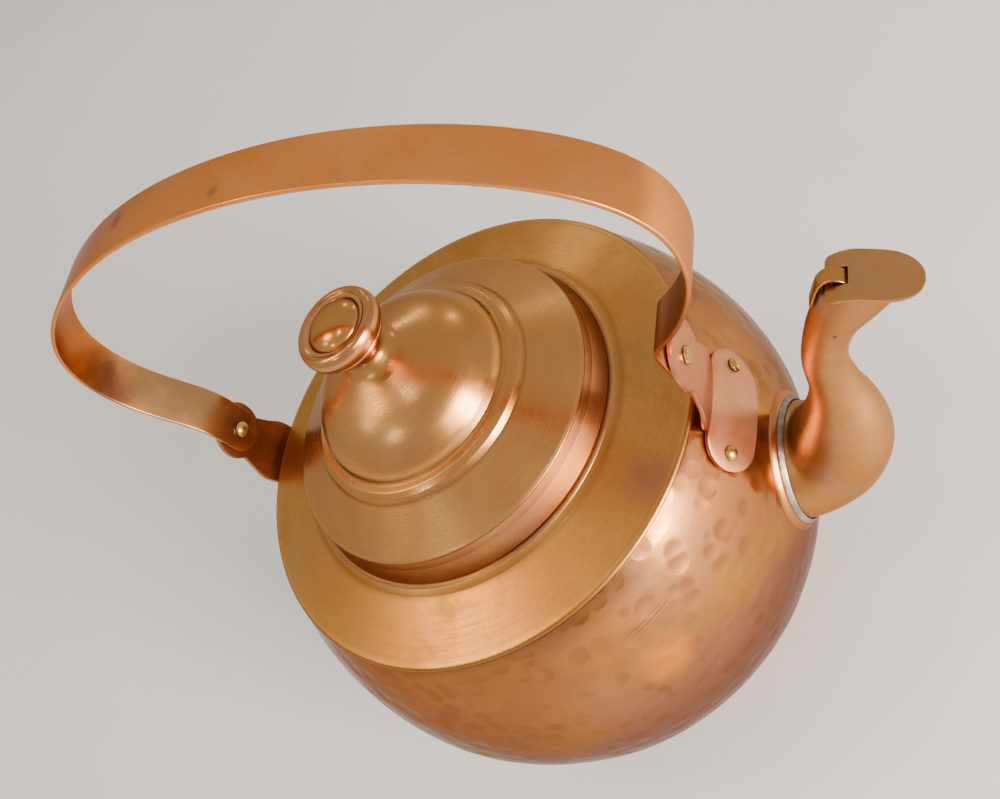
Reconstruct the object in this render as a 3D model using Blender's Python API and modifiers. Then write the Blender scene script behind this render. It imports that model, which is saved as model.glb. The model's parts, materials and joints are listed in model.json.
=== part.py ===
"""Round hammered copper kettle with a strap bail handle, a lift-off lid and a hinged spout flap.

Metres, +Z up.  The origin is the centre of the underside of the base and the spout points along +X.
"""
import math

import bpy
from mathutils import Matrix, Vector

# ---- vessel ----------------------------------------------------------------
BODY_HEIGHT = 0.162           # underside of the base to the shoulder edge
BODY_RADIUS = 0.1187          # widest ring of the wall
WIDEST_HEIGHT = 0.0919        # height of that ring
RIM_RADIUS = 0.100            # outer edge of the shoulder
BASE_RADIUS = 0.0787          # outer edge of the base plate
SHOULDER_CURVE = 1.9          # how late the wall turns in to the shoulder
WALL_SHEET = 0.0013           # vessel wall and shoulder
BASE_SHEET = 0.0014           # base plate
RIM_LIP = 0.0009              # shoulder edge turned down over the wall
SHOULDER_RISE = 0.0076        # shoulder edge up to the mouth
MOUTH_BORE = 0.0656           # inside of the mouth collar, radius
COLLAR_WALL = 0.0016          # neck of the mouth collar
COLLAR_SEAT = 0.0082          # top of the collar above the shoulder edge
COLLAR_DEPTH = 0.0092         # neck of the collar below its seat
COLLAR_FOOT = 0.0066          # flared foot of the collar beyond its seat
# ---- lid -------------------------------------------------------------------
LID_SHEET = 0.0010            # lid top, band and sleeve
SEAT_WIDTH = 0.0050           # seat of the collar, from its bore outward
BAND_HEIGHT = 0.0114
BAND_FLARE = 0.0039           # lower edge of the band beyond its upper edge
STEP_RADIUS = 0.0478          # foot of the rounded step on the lid
FLANGE_RISE = 0.0102          # lid edge up to the step
DOME_RADIUS = 0.0406
DOME_HEIGHT = 0.0294          # foot of the dome to the knob's seat
SLEEVE_CLEARANCE = 0.0011     # sleeve inside the mouth, on the radius
SLEEVE_DEPTH = 0.0124         # sleeve below the seat
KNOB_RADIUS = 0.0173
KNOB_HEIGHT = 0.0165
KNOB_FOOT = 0.0072
BUTTON_RADIUS = 0.0109
BUTTON_RISE = 0.0049
STUD_SHANK = 0.0020           # radius
WASHER_RADIUS = 0.0056
WASHER_SHEET = 0.0010
# ---- brackets, rivets and handle -------------------------------------------
BRACKET_SHEET = 0.0016
FOOT_LENGTH = 0.0481          # riveted foot, round the wall
FOOT_WIDTH = 0.0215           # riveted foot, down the wall
FOLD_DROP = 0.0070            # fold of the bracket below the shoulder edge
EAR_RADIUS = 0.0126
EAR_STEP = 0.0026             # ear outward of the fold
NECK_WIDTH = 0.0196           # narrowest place, under the ear
PIVOT_RISE = 0.0241           # pivots above the shoulder edge
RIVET_MARGIN = 0.0064         # rivet centre from the end of the foot
RIVET_SHANK = 0.0016          # radius
RIVET_HEAD = 0.0028           # radius
PIVOT_SHANK = 0.0021          # radius
PIVOT_HEAD = 0.0037           # radius
STRAP_WIDTH = 0.0192
STRAP_SHEET = 0.0016
HANDLE_HEIGHT = 0.1322        # pivots to the crown of the strap
REAR_BOW = 0.0163             # farthest the strap bows out past the rear ear
FRONT_BOW = 0.0267            # farthest it bows out past the front ear
# ---- spout -----------------------------------------------------------------
SPOUT_SHEET = 0.0012
SPOUT_HEIGHT = 0.0965         # middle of the root above the base
SPOUT_REACH = 0.0558          # root to the middle of the mouth, outward
SPOUT_RISE = 0.1147           # root to the middle of the mouth, upward
ROOT_RADIUS = 0.0238
NECK_RADIUS = 0.0074
MOUTH_FACING = 66.0           # degrees the mouth faces above level
MOUTH_HALF_LENGTH = 0.0122
MOUTH_HALF_WIDTH = 0.0075
LIP_WIDTH = 0.0032            # turned-out lip round the root
BEAD_WIDTH = 0.0009           # solder between the root and the lip
FLAP_SHEET = 0.0011
FLAP_TIP_MARGIN = 0.0031      # flap beyond the mouth at its tip
FLAP_SIDE_MARGIN = 0.0012     # flap beyond the mouth at each side
CREASE_SHIFT = 0.0049         # crease behind the middle of the mouth
FLAP_SLOPE = 24.2             # degrees down toward the tip
REAR_SLOPE = 17.0             # degrees down toward the hinge
HINGE_BAR = 0.0020            # bar behind the slot
TONGUE_WIDTH = 0.0052
TONGUE_SHEET = 0.0009
TONGUE_PLAY = 0.0004          # tongue in the slot, each side
TONGUE_CURL = 0.0035          # inside radius of the tongue round the hinge bar
# ---- clearance and facets --------------------------------------------------
GAP = 0.0003                  # between touching pieces
STEPS = 48                    # facets round the vessel
LID_STEPS = 40                # facets round the lid

# ---- places that follow ----------------------------------------------------
WALL_TOP = BODY_HEIGHT - RIM_LIP - GAP
WALL_BOTTOM = BASE_SHEET + GAP
WALL_TOP_RADIUS = RIM_RADIUS - 0.0006
SEAT_HEIGHT = BODY_HEIGHT + COLLAR_SEAT
COLLAR_NECK = MOUTH_BORE + COLLAR_WALL
SHOULDER_SLOPE = SHOULDER_RISE / (RIM_RADIUS - COLLAR_NECK)
SHOULDER_START = COLLAR_NECK + GAP + WALL_SHEET * math.sin(math.atan(SHOULDER_SLOPE))
PIVOT_HEIGHT = BODY_HEIGHT + PIVOT_RISE
STUD_BORE = STUD_SHANK + 0.0004
BAND_FOOT = SEAT_HEIGHT + GAP
BAND_RADIUS = MOUTH_BORE + SEAT_WIDTH - 0.0005
LID_EDGE = BAND_FOOT + BAND_HEIGHT + GAP + 1.2 * LID_SHEET
LID_RADIUS = BAND_RADIUS - BAND_FLARE - 0.0006
STEP_HEIGHT = LID_EDGE + FLANGE_RISE
DOME_FOOT = STEP_HEIGHT + 0.0052
KNOB_SEAT = DOME_FOOT + DOME_HEIGHT
RIVET_SPREAD = FOOT_LENGTH / 2 - RIVET_MARGIN
RIVET_DROP = FOLD_DROP + FOOT_WIDTH / 2
SEAT_RADIUS = ROOT_RADIUS + LIP_WIDTH
FLAP_HALF_WIDTH = MOUTH_HALF_WIDTH + FLAP_SIDE_MARGIN
FACET_SAG = 1 - math.cos(math.pi / STEPS)     # flat of a facet inside its circle, per radius


# ---- scene helpers ---------------------------------------------------------
def clear_scene():
    for thing in list(bpy.data.objects):
        bpy.data.objects.remove(thing, do_unlink=True)


def make_collection(name):
    group = bpy.data.collections.new(name)
    bpy.context.scene.collection.children.link(group)
    return group


def make_material(name, colour, metallic=1.0, roughness=0.35):
    material = bpy.data.materials.new(name)
    material.use_nodes = True
    shader = material.node_tree.nodes["Principled BSDF"]
    shader.inputs["Base Color"].default_value = (*colour, 1.0)
    shader.inputs["Metallic"].default_value = metallic
    shader.inputs["Roughness"].default_value = roughness
    return material


def add_object(name, vertices, edges, faces, material=None, smooth=True):
    mesh = bpy.data.meshes.new(name)
    mesh.from_pydata(vertices, edges, faces)
    mesh.update()
    for face in mesh.polygons:
        face.use_smooth = smooth
    thing = bpy.data.objects.new(name, mesh)
    (parts if material else cutters).objects.link(thing)
    if material:
        mesh.materials.append(material)
    else:
        thing.hide_render = True
        thing.display_type = "WIRE"
    return thing


def turned(name, profile, closed, material=None, steps=STEPS):
    """Turn a profile of (radius, height) pairs round Z; the outer side runs from top to bottom."""
    count = len(profile)
    vertices = [(radius, 0.0, height) for radius, height in profile]
    edges = [(i, i + 1) for i in range(count - 1)]
    if closed:
        edges.append((count - 1, 0))
    thing = add_object(name, vertices, edges, [], material)
    screw = thing.modifiers.new("turn", "SCREW")
    screw.steps = steps
    screw.render_steps = steps
    screw.use_merge_vertices = True
    screw.merge_threshold = 0.00005
    screw.use_smooth_shade = True
    return thing


def cut(target, cutter):
    boolean = target.modifiers.new(cutter.name, "BOOLEAN")
    boolean.operation = "DIFFERENCE"
    boolean.solver = "EXACT"
    boolean.object = cutter


def place(thing, matrix):
    thing.matrix_world = matrix
    return thing


def frame_at(point, direction):
    """Matrix that puts the local +Z axis along a direction at a point."""
    turn = Vector(direction).to_track_quat("Z", "Y").to_matrix().to_4x4()
    return Matrix.Translation(Vector(point)) @ turn


def soften(thing, width):
    bevel = thing.modifiers.new("soft edge", "BEVEL")
    bevel.width = width
    bevel.segments = 1
    bevel.limit_method = "ANGLE"
    bevel.angle_limit = math.radians(50)


def thicken(thing, thickness, offset):
    solid = thing.modifiers.new("sheet", "SOLIDIFY")
    solid.thickness = thickness
    solid.offset = offset
    solid.use_even_offset = True


# ---- shape helpers ---------------------------------------------------------
def smooth_path(knots, spans):
    """Catmull-Rom curve through the knots; every knot is a tuple of numbers."""
    first = tuple(2 * a - b for a, b in zip(knots[0], knots[1]))
    last = tuple(2 * a - b for a, b in zip(knots[-1], knots[-2]))
    padded = [first, *knots, last]
    path = []
    for i in range(1, len(padded) - 2):
        before, start, end, after = padded[i - 1:i + 3]
        for step in range(spans):
            t = step / spans
            path.append(tuple(
                0.5 * (2 * b + (c - a) * t + (2 * a - 5 * b + 4 * c - d) * t ** 2
                       + (3 * b - a - 3 * c + d) * t ** 3)
                for a, b, c, d in zip(before, start, end, after)))
    path.append(tuple(knots[-1]))
    return path


def normals_of(line):
    """Unit direction to the left of travel at each point of a line in a plane."""
    last = len(line) - 1
    sides = []
    for i in range(len(line)):
        before = line[max(i - 1, 0)]
        after = line[min(i + 1, last)]
        run = after[0] - before[0]
        rise = after[1] - before[1]
        length = math.hypot(run, rise)
        sides.append((-rise / length, run / length))
    return sides


def offset_line(line, distance):
    return [(x + a * distance, z + b * distance) for (x, z), (a, b) in zip(line, normals_of(line))]


def sheet_loop(outer, thickness):
    """Close an outer line into the outline of a sheet that lies on its inner side."""
    return list(outer) + offset_line(outer, -thickness)[::-1]


def strip(name, rows, material, thickness, offset):
    """Sheet metal from rows of points across its width; every row has the same count."""
    across = len(rows[0])
    vertices = [point for row in rows for point in row]
    faces = []
    for i in range(len(rows) - 1):
        for j in range(across - 1):
            a = i * across + j
            faces.append((a, a + 1, a + across + 1, a + across))
    thing = add_object(name, vertices, [], faces, material)
    thicken(thing, thickness, offset)
    return thing


def straight_row(x, z, half_width, across):
    return [(x, half_width * (2 * j / (across - 1) - 1), z) for j in range(across)]


def prism(name, outline, half_depth):
    """Solid cutter: an outline in the XZ plane drawn out along Y."""
    count = len(outline)
    vertices = [(x, -half_depth, z) for x, z in outline] + [(x, half_depth, z) for x, z in outline]
    faces = [tuple(range(count)), tuple(range(2 * count - 1, count - 1, -1))]
    for i in range(count):
        j = (i + 1) % count
        faces.append((j, i, i + count, j + count))
    return add_object(name, vertices, [], faces, smooth=False)


def rod_cutter(name, radius, low, high, steps=16):
    return turned(name, [(0, high), (radius, high), (radius, low), (0, low)], False, steps=steps)


# ---- vessel ----------------------------------------------------------------
def wall_radius(height):
    """Outside radius of the vessel wall, which turns in above and below its widest ring."""
    if height > WIDEST_HEIGHT:
        share = (height - WIDEST_HEIGHT) / (WALL_TOP - WIDEST_HEIGHT)
        return BODY_RADIUS - (BODY_RADIUS - WALL_TOP_RADIUS) * share ** SHOULDER_CURVE
    share = (WIDEST_HEIGHT - height) / (WIDEST_HEIGHT - WALL_BOTTOM)
    return BODY_RADIUS * math.sqrt(1 - share * share * (1 - (BASE_RADIUS / BODY_RADIUS) ** 2))


def wall_normal(height):
    """Outward direction of the wall in the (radius, height) plane."""
    small = 0.0002
    slope = (wall_radius(height + small) - wall_radius(height - small)) / (2 * small)
    length = math.hypot(1.0, slope)
    return 1.0 / length, -slope / length


def vessel_outline(out=0.0, count=13):
    """Outer line of the vessel wall from the shoulder down to the base."""
    line = []
    for i in range(count):
        share = 0.5 - 0.5 * math.cos(math.pi * i / (count - 1))
        share = 0.5 * share + 0.5 * i / (count - 1)
        height = WALL_TOP + (WALL_BOTTOM - WALL_TOP) * share
        across, up = wall_normal(height)
        line.append((wall_radius(height) + across * out, height + up * out))
    return line


def seat_frame():
    """Plane through the circle where the spout lip meets the wall, with its outward axis."""
    top = SPOUT_HEIGHT + SEAT_RADIUS
    bottom = SPOUT_HEIGHT - SEAT_RADIUS
    high = Vector((wall_radius(top), 0.0, top))
    low = Vector((wall_radius(bottom), 0.0, bottom))
    along = (high - low).normalized()
    return (high + low) / 2, Vector((along.z, 0.0, -along.x))


def foot_rivet_spots():
    """Point on the wall and outward direction for each foot rivet."""
    height = BODY_HEIGHT - RIVET_DROP
    radius = wall_radius(height)
    across, up = wall_normal(height)
    turn = math.asin(RIVET_SPREAD / radius)
    spots = {}
    for end, facing in (("front", 0.0), ("rear", math.pi)):
        for side, sign in (("left", 1.0), ("right", -1.0)):
            angle = facing + sign * turn
            outward = Vector((math.cos(angle), math.sin(angle), 0.0))
            spots[end + "_rivet_" + side] = (outward * radius + Vector((0, 0, height)),
                                             outward * across + Vector((0, 0, up)))
    return spots


def build_vessel():
    copper = make_material("hammered_copper", (0.62, 0.30, 0.18))
    inner = vessel_outline(-WALL_SHEET)
    inner[0] = (inner[0][0], WALL_TOP)
    inner[-1] = (inner[-1][0], WALL_BOTTOM)
    shell = turned("body_shell", vessel_outline() + inner[::-1], True, copper)
    for name, (point, direction) in foot_rivet_spots().items():
        hole = rod_cutter(name + "_hole", RIVET_SHANK + GAP, -0.005, 0.007)
        place(hole, frame_at(point, direction))
        cut(shell, hole)
    centre, outward = seat_frame()
    bore = ROOT_RADIUS - SPOUT_SHEET - 0.0002
    opening = rod_cutter("spout_opening", bore, -0.6 * bore, 0.5 * bore, 36)
    place(opening, frame_at(centre, outward))
    cut(shell, opening)


def build_base():
    copper = make_material("base_copper", (0.50, 0.26, 0.16), roughness=0.5)
    edge = BASE_RADIUS
    profile = [(0, BASE_SHEET), (edge - 0.0008, BASE_SHEET), (edge, BASE_SHEET - 0.0004),
               (edge, 0.0005), (edge - 0.0008, 0.0), (0, 0.0)]
    turned("base_plate", profile, False, copper)


def shoulder_height(radius):
    """Height of the shoulder's upper face at a radius."""
    return BODY_HEIGHT + (RIM_RADIUS - radius) * SHOULDER_SLOPE


def build_shoulder():
    copper = make_material("shoulder_copper", (0.60, 0.36, 0.17))
    middle = MOUTH_BORE + SEAT_WIDTH + COLLAR_FOOT + 0.0010
    near = RIM_RADIUS - 0.0030
    line = [(SHOULDER_START, shoulder_height(SHOULDER_START)), (middle, shoulder_height(middle)),
            (near, shoulder_height(near) + 0.00035), (RIM_RADIUS - 0.0008, BODY_HEIGHT + 0.00075),
            (RIM_RADIUS, BODY_HEIGHT - 0.0001), (RIM_RADIUS - 0.0003, BODY_HEIGHT - RIM_LIP)]
    turned("shoulder_plate", sheet_loop(line, WALL_SHEET), True, copper)


def build_mouth_collar():
    copper = make_material("collar_copper", (0.60, 0.33, 0.18))
    seat = MOUTH_BORE + SEAT_WIDTH
    foot = seat + COLLAR_FOOT
    low = shoulder_height(foot) + GAP + 0.0001
    drop = SEAT_HEIGHT - low
    profile = [(MOUTH_BORE, SEAT_HEIGHT), (seat, SEAT_HEIGHT),
               (seat + COLLAR_FOOT * 0.17, SEAT_HEIGHT - drop * 0.12),
               (seat + COLLAR_FOOT * 0.40, SEAT_HEIGHT - drop * 0.44),
               (seat + COLLAR_FOOT * 0.72, SEAT_HEIGHT - drop * 0.68),
               (foot - 0.0001, low + drop * 0.17), (foot, low),
               (COLLAR_NECK, shoulder_height(COLLAR_NECK) + GAP + 0.0001),
               (COLLAR_NECK, SEAT_HEIGHT - COLLAR_DEPTH), (MOUTH_BORE, SEAT_HEIGHT - COLLAR_DEPTH)]
    turned("mouth_collar", profile, True, copper)


# ---- lid -------------------------------------------------------------------
def build_lid():
    copper = make_material("lid_copper", (0.62, 0.36, 0.18))
    seat = KNOB_FOOT
    dome = [(STUD_BORE, KNOB_SEAT), (seat, KNOB_SEAT)]
    for across, up in ((0.040, 0.972), (0.080, 0.905), (0.150, 0.827), (0.324, 0.731), (0.593, 0.582),
                       (0.802, 0.391), (0.949, 0.153), (1.0, 0.0)):
        dome.append((seat + (DOME_RADIUS - seat) * across, DOME_FOOT + DOME_HEIGHT * up))
    step = STEP_RADIUS - DOME_RADIUS
    for across, up in ((0.17, 0.81), (0.55, 0.77), (0.87, 0.42), (1.0, 0.0)):
        dome.append((DOME_RADIUS + step * across, STEP_HEIGHT + (DOME_FOOT - STEP_HEIGHT) * up))
    dome.append((LID_RADIUS, LID_EDGE))
    turned("lid_top", sheet_loop(dome, LID_SHEET), True, copper, LID_STEPS)
    band = make_material("band_copper", (0.52, 0.27, 0.15))
    skirt = [(BAND_RADIUS - BAND_FLARE, BAND_FOOT + BAND_HEIGHT), (BAND_RADIUS, BAND_FOOT)]
    inside = [(radius - LID_SHEET, height) for radius, height in skirt[::-1]]
    turned("lid_band", skirt + inside, True, band, LID_STEPS)
    tinned = make_material("sleeve_tin", (0.62, 0.60, 0.56), roughness=0.45)
    outside = MOUTH_BORE - SLEEVE_CLEARANCE
    slope = FLANGE_RISE / (LID_RADIUS - STEP_RADIUS)
    top = LID_EDGE + (LID_RADIUS - outside) * slope - LID_SHEET * math.hypot(1.0, slope) - GAP
    sleeve = [(outside, top), (outside, SEAT_HEIGHT - SLEEVE_DEPTH)]
    inside = [(radius - LID_SHEET, height) for radius, height in sleeve[::-1]]
    turned("lid_sleeve", sleeve + inside, True, tinned, LID_STEPS)


def build_knob():
    copper = make_material("knob_copper", (0.60, 0.34, 0.19))
    bottom = KNOB_SEAT + GAP
    groove = bottom + KNOB_HEIGHT * 0.855
    knob = [(STUD_BORE, groove), (KNOB_RADIUS * 0.67, groove)]
    for across, up in ((0.723, 0.885), (0.775, 0.964), (0.855, 1.0), (0.936, 0.958), (0.988, 0.855),
                       (1.0, 0.733), (0.971, 0.600), (0.896, 0.509), (0.815, 0.479), (0.838, 0.418),
                       (0.803, 0.352), (0.671, 0.303), (0.509, 0.255), (0.422, 0.164), (0.399, 0.079)):
        knob.append((KNOB_RADIUS * across, bottom + KNOB_HEIGHT * up))
    knob += [(KNOB_FOOT, bottom), (STUD_BORE, bottom)]
    turned("lid_knob", knob, True, copper, 24)
    stud_copper = make_material("stud_copper", (0.66, 0.42, 0.20))
    under = groove + GAP
    foot = KNOB_SEAT - LID_SHEET - GAP
    tail = foot - WASHER_SHEET - GAP
    stud = [(BUTTON_RADIUS * across, under + BUTTON_RISE * up)
            for across, up in ((0.0, 1.0), (0.33, 0.94), (0.63, 0.76), (0.87, 0.45), (0.99, 0.14), (1.0, 0.0))]
    stud += [(STUD_SHANK, under), (STUD_SHANK, tail), (STUD_SHANK + 0.0013, tail),
             (STUD_SHANK + 0.0010, tail - 0.0010), (0.0, tail - 0.0013)]
    turned("knob_stud", stud, False, stud_copper, 24)
    tin = make_material("washer_tin", (0.60, 0.58, 0.55), roughness=0.45)
    washer = [(WASHER_RADIUS, foot), (WASHER_RADIUS, foot - WASHER_SHEET),
              (STUD_BORE, foot - WASHER_SHEET), (STUD_BORE, foot)]
    turned("knob_washer", washer, True, tin, 24)


# ---- brackets and rivets ---------------------------------------------------
def ear_plane():
    """Distance from the kettle axis to the inner face of each ear."""
    return wall_radius(BODY_HEIGHT - FOLD_DROP) + GAP + EAR_STEP


def foot_rows():
    """Rows on the inner face of the foot, from its lower edge up to the fold."""
    half = FOOT_WIDTH / 2
    middle = BODY_HEIGHT - RIVET_DROP
    rows = []
    for i in range(9):
        swing = math.cos(math.pi * i / 8)
        width = FOOT_LENGTH / 2 - half + half * math.sqrt(max(1 - swing * swing, 0.0))
        height = middle - half * swing
        across, up = wall_normal(height)
        radius = wall_radius(height) + across * GAP * 1.6
        row = []
        for j in range(8):
            y = width * (j / 3.5 - 1)
            row.append((math.sqrt(radius ** 2 - y ** 2), y, height + up * GAP * 1.6))
        rows.append(row)
    return rows


def bracket_rows():
    """Rows on the inner face of a bracket, from the foot's lower edge to the ear's top."""
    rows = foot_rows()
    plane = ear_plane()
    fold = BODY_HEIGHT - FOLD_DROP
    fold_width = FOOT_LENGTH / 2 - FOOT_WIDTH / 2
    meet = math.acos(NECK_WIDTH / 2 / EAR_RADIUS)
    neck_top = PIVOT_HEIGHT - EAR_RADIUS * math.sin(meet)
    start = wall_radius(fold) + GAP
    for share, swell in ((0.22, 1.05), (0.44, 1.06), (0.66, 0.92), (1.0, NECK_WIDTH / 2 / fold_width)):
        bend = min(share / 0.66, 1.0)
        ease = bend * bend * (3 - 2 * bend)
        row = []
        for j in range(8):
            y = fold_width * swell * (j / 3.5 - 1)
            bowed = math.sqrt(start ** 2 - y ** 2)
            row.append((bowed + (plane - bowed) * ease, y, fold + (neck_top - fold) * share))
        rows.append(row)
    for i in range(1, 11):
        angle = -meet + (math.radians(86) + meet) * i / 10
        rows.append(straight_row(plane, PIVOT_HEIGHT + EAR_RADIUS * math.sin(angle),
                                 EAR_RADIUS * math.cos(angle), 8))
    return rows


def build_bracket(end, sign):
    copper = make_material(end + "_bracket_copper", (0.64, 0.33, 0.22))
    rows = bracket_rows()
    if sign < 0:
        rows = [[(-x, -y, z) for x, y, z in row] for row in rows]
    bracket = strip(end + "_bracket", rows, copper, BRACKET_SHEET, 1.0)
    soften(bracket, 0.00025)
    hole = rod_cutter(end + "_ear_hole", PIVOT_SHANK + GAP, -0.005, 0.007)
    place(hole, frame_at((sign * ear_plane(), 0, PIVOT_HEIGHT), (sign, 0, 0)))
    cut(bracket, hole)
    for name in foot_rivet_spots():
        if name.startswith(end):
            cut(bracket, bpy.data.objects[name + "_hole"])


def mushroom(radius, shank, under, rise, tail, flare):
    """Profile of a rivet: domed head, shank and a peened tail."""
    return [(0, under + rise), (radius * 0.45, under + rise * 0.89), (radius * 0.8, under + rise * 0.57),
            (radius, under + rise * 0.15), (radius, under), (shank, under), (shank, tail),
            (shank + flare, tail), (shank + flare * 0.7, tail - flare * 0.75), (0, tail - flare)]


def build_foot_rivets():
    under = GAP * 1.6 + BRACKET_SHEET + GAP
    tail = -WALL_SHEET - GAP - BODY_RADIUS * FACET_SAG
    profile = mushroom(RIVET_HEAD, RIVET_SHANK, under, 0.0014, tail, 0.0009)
    for name, (point, direction) in foot_rivet_spots().items():
        brass = make_material(name + "_brass", (0.72, 0.52, 0.20), roughness=0.28)
        place(turned(name, profile, False, brass, 14), frame_at(point, direction))


def build_pivots():
    under = GAP + STRAP_SHEET + GAP
    profile = mushroom(PIVOT_HEAD, PIVOT_SHANK, under, 0.0019, -BRACKET_SHEET - GAP, 0.0011)
    for end, sign in (("front", 1.0), ("rear", -1.0)):
        brass = make_material(end + "_pivot_brass", (0.70, 0.50, 0.20), roughness=0.3)
        place(turned(end + "_pivot", profile, False, brass, 18),
              frame_at((sign * ear_plane(), 0, PIVOT_HEIGHT), (-sign, 0, 0)))


# ---- bail handle -----------------------------------------------------------
def handle_path():
    """Middle of the strap in the XZ plane, from the rear end over the crown to the front end."""
    end = ear_plane() - GAP - STRAP_SHEET / 2
    tail = -STRAP_WIDTH * 0.48
    rear = ear_plane() + REAR_BOW
    front = ear_plane() + FRONT_BOW
    top = HANDLE_HEIGHT
    knots = [(-end, tail), (-end, tail * 0.43), (-end, 0.0020), (-end + 0.0002, 0.0090),
             (-end - 0.0002, 0.0160)]
    for out, up in ((-0.885, 0.185), (-0.9375, 0.261), (-0.982, 0.344), (-1.0, 0.4425), (-0.982, 0.548),
                    (-0.917, 0.654), (-0.785, 0.764), (-0.5715, 0.874), (-0.292, 0.962)):
        knots.append((rear * out, top * up))
    for out, up in ((0.011, 1.0), (0.2955, 0.988), (0.553, 0.927), (0.765, 0.8305), (0.909, 0.7185),
                    (0.983, 0.605), (1.0, 0.4915), (0.976, 0.3745), (0.917, 0.2685), (0.845, 0.185)):
        knots.append((front * out, top * up))
    knots += [(end + 0.0006, 0.0155), (end - 0.0002, 0.0086), (end, 0.0020), (end, tail * 0.43),
              (end, tail)]
    return smooth_path(knots, 2)


def build_handle():
    copper = make_material("strap_copper", (0.68, 0.34, 0.17))
    half = STRAP_WIDTH / 2
    rows = []
    for x, z in handle_path():
        width = half
        if z < 0:
            width = half * math.sqrt(max(1 - (z / half) ** 2, 0.06))
        rows.append([(x, -width, z), (x, width, z)])
    strap = strip("handle_strap", rows, copper, STRAP_SHEET, 0.0)
    soften(strap, 0.0003)
    for end, sign in (("front", 1.0), ("rear", -1.0)):
        hole = rod_cutter(end + "_strap_hole", PIVOT_SHANK + GAP, -0.006, 0.006)
        place(hole, frame_at((sign * ear_plane(), 0, PIVOT_HEIGHT), (sign, 0, 0)))
        cut(strap, hole)
    strap.location = (0, 0, PIVOT_HEIGHT)


# ---- spout -----------------------------------------------------------------
def build_spout_root():
    centre, outward = seat_frame()
    turned("vessel_envelope", [(0, WALL_TOP + GAP)] + vessel_outline(GAP) + [(0, WALL_BOTTOM - GAP)],
           False)
    copper = make_material("lip_copper", (0.60, 0.30, 0.20))
    inside = ROOT_RADIUS + BEAD_WIDTH + 0.0004
    outside = ROOT_RADIUS + LIP_WIDTH
    lip = [(inside, 0.0032), ((inside + outside) / 2, 0.0033), (outside - 0.0005, 0.0026),
           (outside, 0.0012), (outside + 0.0008, 0.0005), (outside + 0.0008, -0.0020),
           (inside, -0.0020)]
    collar = turned("spout_collar", lip, True, copper, 36)
    place(collar, frame_at(centre, outward))
    cut(collar, bpy.data.objects["vessel_envelope"])
    tin = make_material("solder_tin", (0.70, 0.70, 0.70), roughness=0.3)
    near = ROOT_RADIUS + 0.00035
    far = inside - GAP
    bead = [(near, 0.0052), (near + 0.0008, 0.0049), (far + 0.0008, 0.0042), (far + 0.0009, 0.00365),
            (far, 0.0034), (far, 0.0016), (near, 0.0016)]
    solder = turned("spout_solder", bead, True, tin, 36)
    place(solder, frame_at(centre, outward))
    cut(solder, bpy.data.objects["vessel_envelope"])


def spout_sections():
    """Stations along the spout: middle x, middle z, half length, half width, facing in degrees."""
    centre, outward = seat_frame()
    start = centre + outward * 0.0009
    tilt = math.degrees(math.atan2(outward.z, outward.x))
    knots = [(start.x, start.z, ROOT_RADIUS, ROOT_RADIUS, tilt)]
    shrink = ROOT_RADIUS - NECK_RADIUS
    for out, up, share, facing in ((0.160, 0.020, 0.91, 20.0), (0.330, 0.078, 0.762, 43.0),
                                   (0.459, 0.205, 0.598, 64.0), (0.532, 0.359, 0.323, 77.0),
                                   (0.561, 0.501, 0.079, 85.0), (0.591, 0.658, 0.0, 81.0)):
        size = NECK_RADIUS + shrink * share
        knots.append((centre.x + SPOUT_REACH * out, SPOUT_HEIGHT + SPOUT_RISE * up, size, size, facing))
    for out, up, share, facing in ((0.712, 0.811, 0.04, 68.0), (0.867, 0.914, 0.50, 62.0),
                                   (1.0, 1.0, 1.0, MOUTH_FACING)):
        knots.append((centre.x + SPOUT_REACH * out, SPOUT_HEIGHT + SPOUT_RISE * up,
                      NECK_RADIUS + (MOUTH_HALF_LENGTH - NECK_RADIUS) * share,
                      NECK_RADIUS + (MOUTH_HALF_WIDTH - NECK_RADIUS) * share, facing))
    return smooth_path(knots, 2)


def spout_row(station, around=24):
    x, z, length, width, facing = station
    turn = math.radians(facing)
    row = []
    for i in range(around):
        angle = 2 * math.pi * i / around
        up = length * math.cos(angle)
        row.append((x - up * math.sin(turn), width * math.sin(angle), z + up * math.cos(turn)))
    return row


def flap_line():
    """Crease, rear edge and tip of the flap's upper face, and the hinge axis, in the XZ plane."""
    centre, outward = seat_frame()
    crease = (centre.x + SPOUT_REACH - CREASE_SHIFT, SPOUT_HEIGHT + SPOUT_RISE + 0.00255)
    reach = MOUTH_HALF_LENGTH * math.sin(math.radians(MOUTH_FACING))
    behind = reach - CREASE_SHIFT - GAP
    ahead = reach + CREASE_SHIFT + FLAP_TIP_MARGIN
    back = math.radians(REAR_SLOPE)
    rear = (crease[0] - behind, crease[1] - behind * math.tan(back))
    tip = (crease[0] + ahead, crease[1] - ahead * math.tan(math.radians(FLAP_SLOPE)))
    bar = HINGE_BAR * 0.4
    hinge = (rear[0] + bar * math.cos(back) + FLAP_SHEET / 2 * math.sin(back),
             rear[1] + bar * math.sin(back) - FLAP_SHEET * 0.27)
    return crease, rear, tip, hinge


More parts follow.
